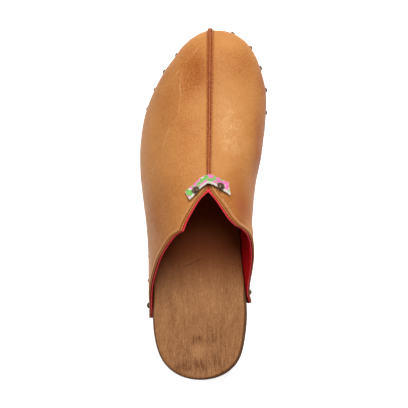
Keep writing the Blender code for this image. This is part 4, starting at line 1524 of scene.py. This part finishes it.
def sole_ring(side, station):
    """Points round the sole's section from its top middle to its bottom middle."""
    middle_station = min(max(station, HEEL_CENTRE), TOE_CENTRE)
    middle_across = 0.5 * sum(sole_across(other, middle_station) for other in SIDES)
    middle = np.array([middle_across, middle_station])
    edge = np.array([sole_across(side, station), station])
    reach = np.linalg.norm(middle - edge)
    inward = (middle - edge) / reach
    points = []

    def add_point(inset, level, rise, dish=0.0):
        place = edge + inward * inset
        points.append([*place, LEVEL[level](place[1]) + rise - dish * LEVEL["dish"](place[1])])

    for share in np.linspace(0.0, 1.0, TOP_SHARES, endpoint=False):
        add_point(reach - share * (reach - EDGE_ROUND), "rim", 0.0, dish=1.0 - share**2)
    for turn in np.linspace(0.0, QUARTER_TURN, EDGE_TURNS):
        add_point(EDGE_ROUND * (1.0 - math.sin(turn)), "rim", EDGE_ROUND * (math.cos(turn) - 1.0))
    covered = MARGIN + 1.0
    for share in np.linspace(0.0, 1.0, COVERED_SHARES)[1:]:
        points.append([*edge, sole_edge(station) - share * covered])
    low = sole_edge(station) - covered
    foot = LEVEL["ground"](station) + GROUND_ROUND
    for share in np.linspace(0.0, 1.0, BARE_SHARES)[1:-1]:
        points.append([*(edge + inward * SIDE_TAPER * share), low + share * (foot - low)])
    for turn in np.linspace(0.0, QUARTER_TURN, GROUND_TURNS):
        inset = SIDE_TAPER + GROUND_ROUND * (1.0 - math.cos(turn))
        add_point(inset, "ground", GROUND_ROUND * (1.0 - math.sin(turn)))
    for share in np.linspace(1.0, 0.0, GROUND_SHARES)[1:]:
        add_point(reach - share * (reach - SIDE_TAPER - GROUND_ROUND), "ground", 0.0)
    return points


def add_sole(finish):
    stations = sole_stations()
    rings = [sole_ring("lateral", station) for station in stations]
    rings += [sole_ring("medial", station) for station in stations[-2:0:-1]]
    points, faces = loft(np.array(rings).transpose(1, 0, 2), open_ends=True)
    edge = np.vstack([HALVES["lateral"][:-1], HALVES["medial"][:0:-1]])
    rim, _ = along_path(points[:, :2], np.vstack([edge[::4], edge[:1]]))
    across, along = points[:, 0], points[:, 1]
    stained = STAIN_WIDE[0] + (STAIN_WIDE[1] - STAIN_WIDE[0]) * smooth_step(across, *STAIN_ACROSS)
    stained *= 1.0 - STAIN_FADED * smooth_step(along, *STAIN_FADES)
    values = {
        "rim": rim / stained,
        "tone": blotched(points, WOOD_TONES),
        # painted shade on the footbed under the instep, kept off the rim
        "shade_under_instep": MOST_SHADE_UNDER_INSTEP * smooth_step(along, *SHADE_UNDER_INSTEP_ALONG) * smooth_step(rim, 0.5, 2.0),
    }
    points[:, 2] += RIM_UNEVEN * soft_noise(points, 5.0, 8) * (rim < 1.0)
    piece = add_piece("wooden_sole", [(points, faces)], finish, values, merge=True)
    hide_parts("sole")


# ------------------------------ floor, light and camera

VIEW_WIDE = 307.224 * MM  # what the picture shows from side to side, at the sole's height
CAMERA_HIGH = 2.6
FOCUS_HEIGHT = 45.0 * MM
SENSOR = 36.0
FLOOR_HALF = 3.0
LIT_PLACE = (0.0, 0.0, 0.05)
LAMPS = table(
    "name place size power colour",
    ("key", (0.12, 1.05, 1.7), 1.2, 59.0, (1.0, 0.985, 0.96)),
    ("left_fill", (-1.5, 0.1, 0.75), 1.1, 7.0, (0.8, 0.92, 1.0)),
)
ROOM_LIGHT = 0.28
WHITE = (1.0, 1.0, 1.0, 1.0)


def add_floor():
    make = Finish("pale_floor", Roughness=0.7, Emission_Strength=0.72)
    make.surface.inputs["Emission Color"].default_value = WHITE
    tint = make.mix(make.noise(90.0, 2.0), (0.93, 0.93, 0.93), (0.96, 0.96, 0.96))
    mesh = bpy.data.meshes.new("floor")
    corners = [(FLOOR_HALF * x, FLOOR_HALF * y, 0.0) for x, y in ((-1, -1), (1, -1), (1, 1), (-1, 1))]
    mesh.from_pydata(corners, [], [(0, 1, 2, 3)])
    mesh.materials.append(make.finish(tint))
    floor = place_object("floor", mesh)
    floor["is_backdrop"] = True


def add_softbox(row):
    light = bpy.data.lights.new(row.name, "AREA")
    light.shape = "DISK"
    light.size = row.size
    light.energy = row.power
    light.color = row.colour
    lamp = place_object(row.name, light)
    lamp.location = row.place
    lamp.rotation_mode = "QUATERNION"
    lamp.rotation_quaternion = (Vector(LIT_PLACE) - Vector(row.place)).to_track_quat("-Z", "Y")
    lamp.visible_camera = False


def add_lights():
    for row in LAMPS:
        add_softbox(row)
    world = bpy.data.worlds.new("pale_room")
    world.use_nodes = True
    background = world.node_tree.nodes["Background"]
    background.inputs["Color"].default_value = WHITE
    background.inputs["Strength"].default_value = ROOM_LIGHT
    bpy.context.scene.world = world
    bpy.context.scene.view_settings.view_transform = "Standard"


def add_camera():
    lens = bpy.data.cameras.new("camera")
    lens.sensor_width = SENSOR
    lens.lens = SENSOR * (CAMERA_HIGH - FOCUS_HEIGHT) / VIEW_WIDE
    camera = place_object("camera", lens)
    camera.location = (0.0, 0.0, CAMERA_HIGH)
    bpy.context.scene.camera = camera


# ------------------------------ the whole shoe


def add_shoe():
    leather = leather_finish()
    lining = lining_finish()
    bronze = bronze_finish()
    grids = {side: leather_grid(side) for side in SIDES}
    for side, grid in grids.items():
        add_leather(side, grid, leather)
        add_lining(side, grid, lining)
    seam = seam_frame(grids)
    add_ridge(seam, ridge_finish())
    add_stitches(seam, thread_finish())
    add_patch(patch_finish())
    add_rivets(bronze)
    add_tacks(bronze)
    add_sole(wood_finish())


add_shoe()
add_floor()
add_lights()
add_camera()

boxes = {"cad": cad_box, "visual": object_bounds()}
{name: [list(corner) for corner in box] for name, box in boxes.items()}
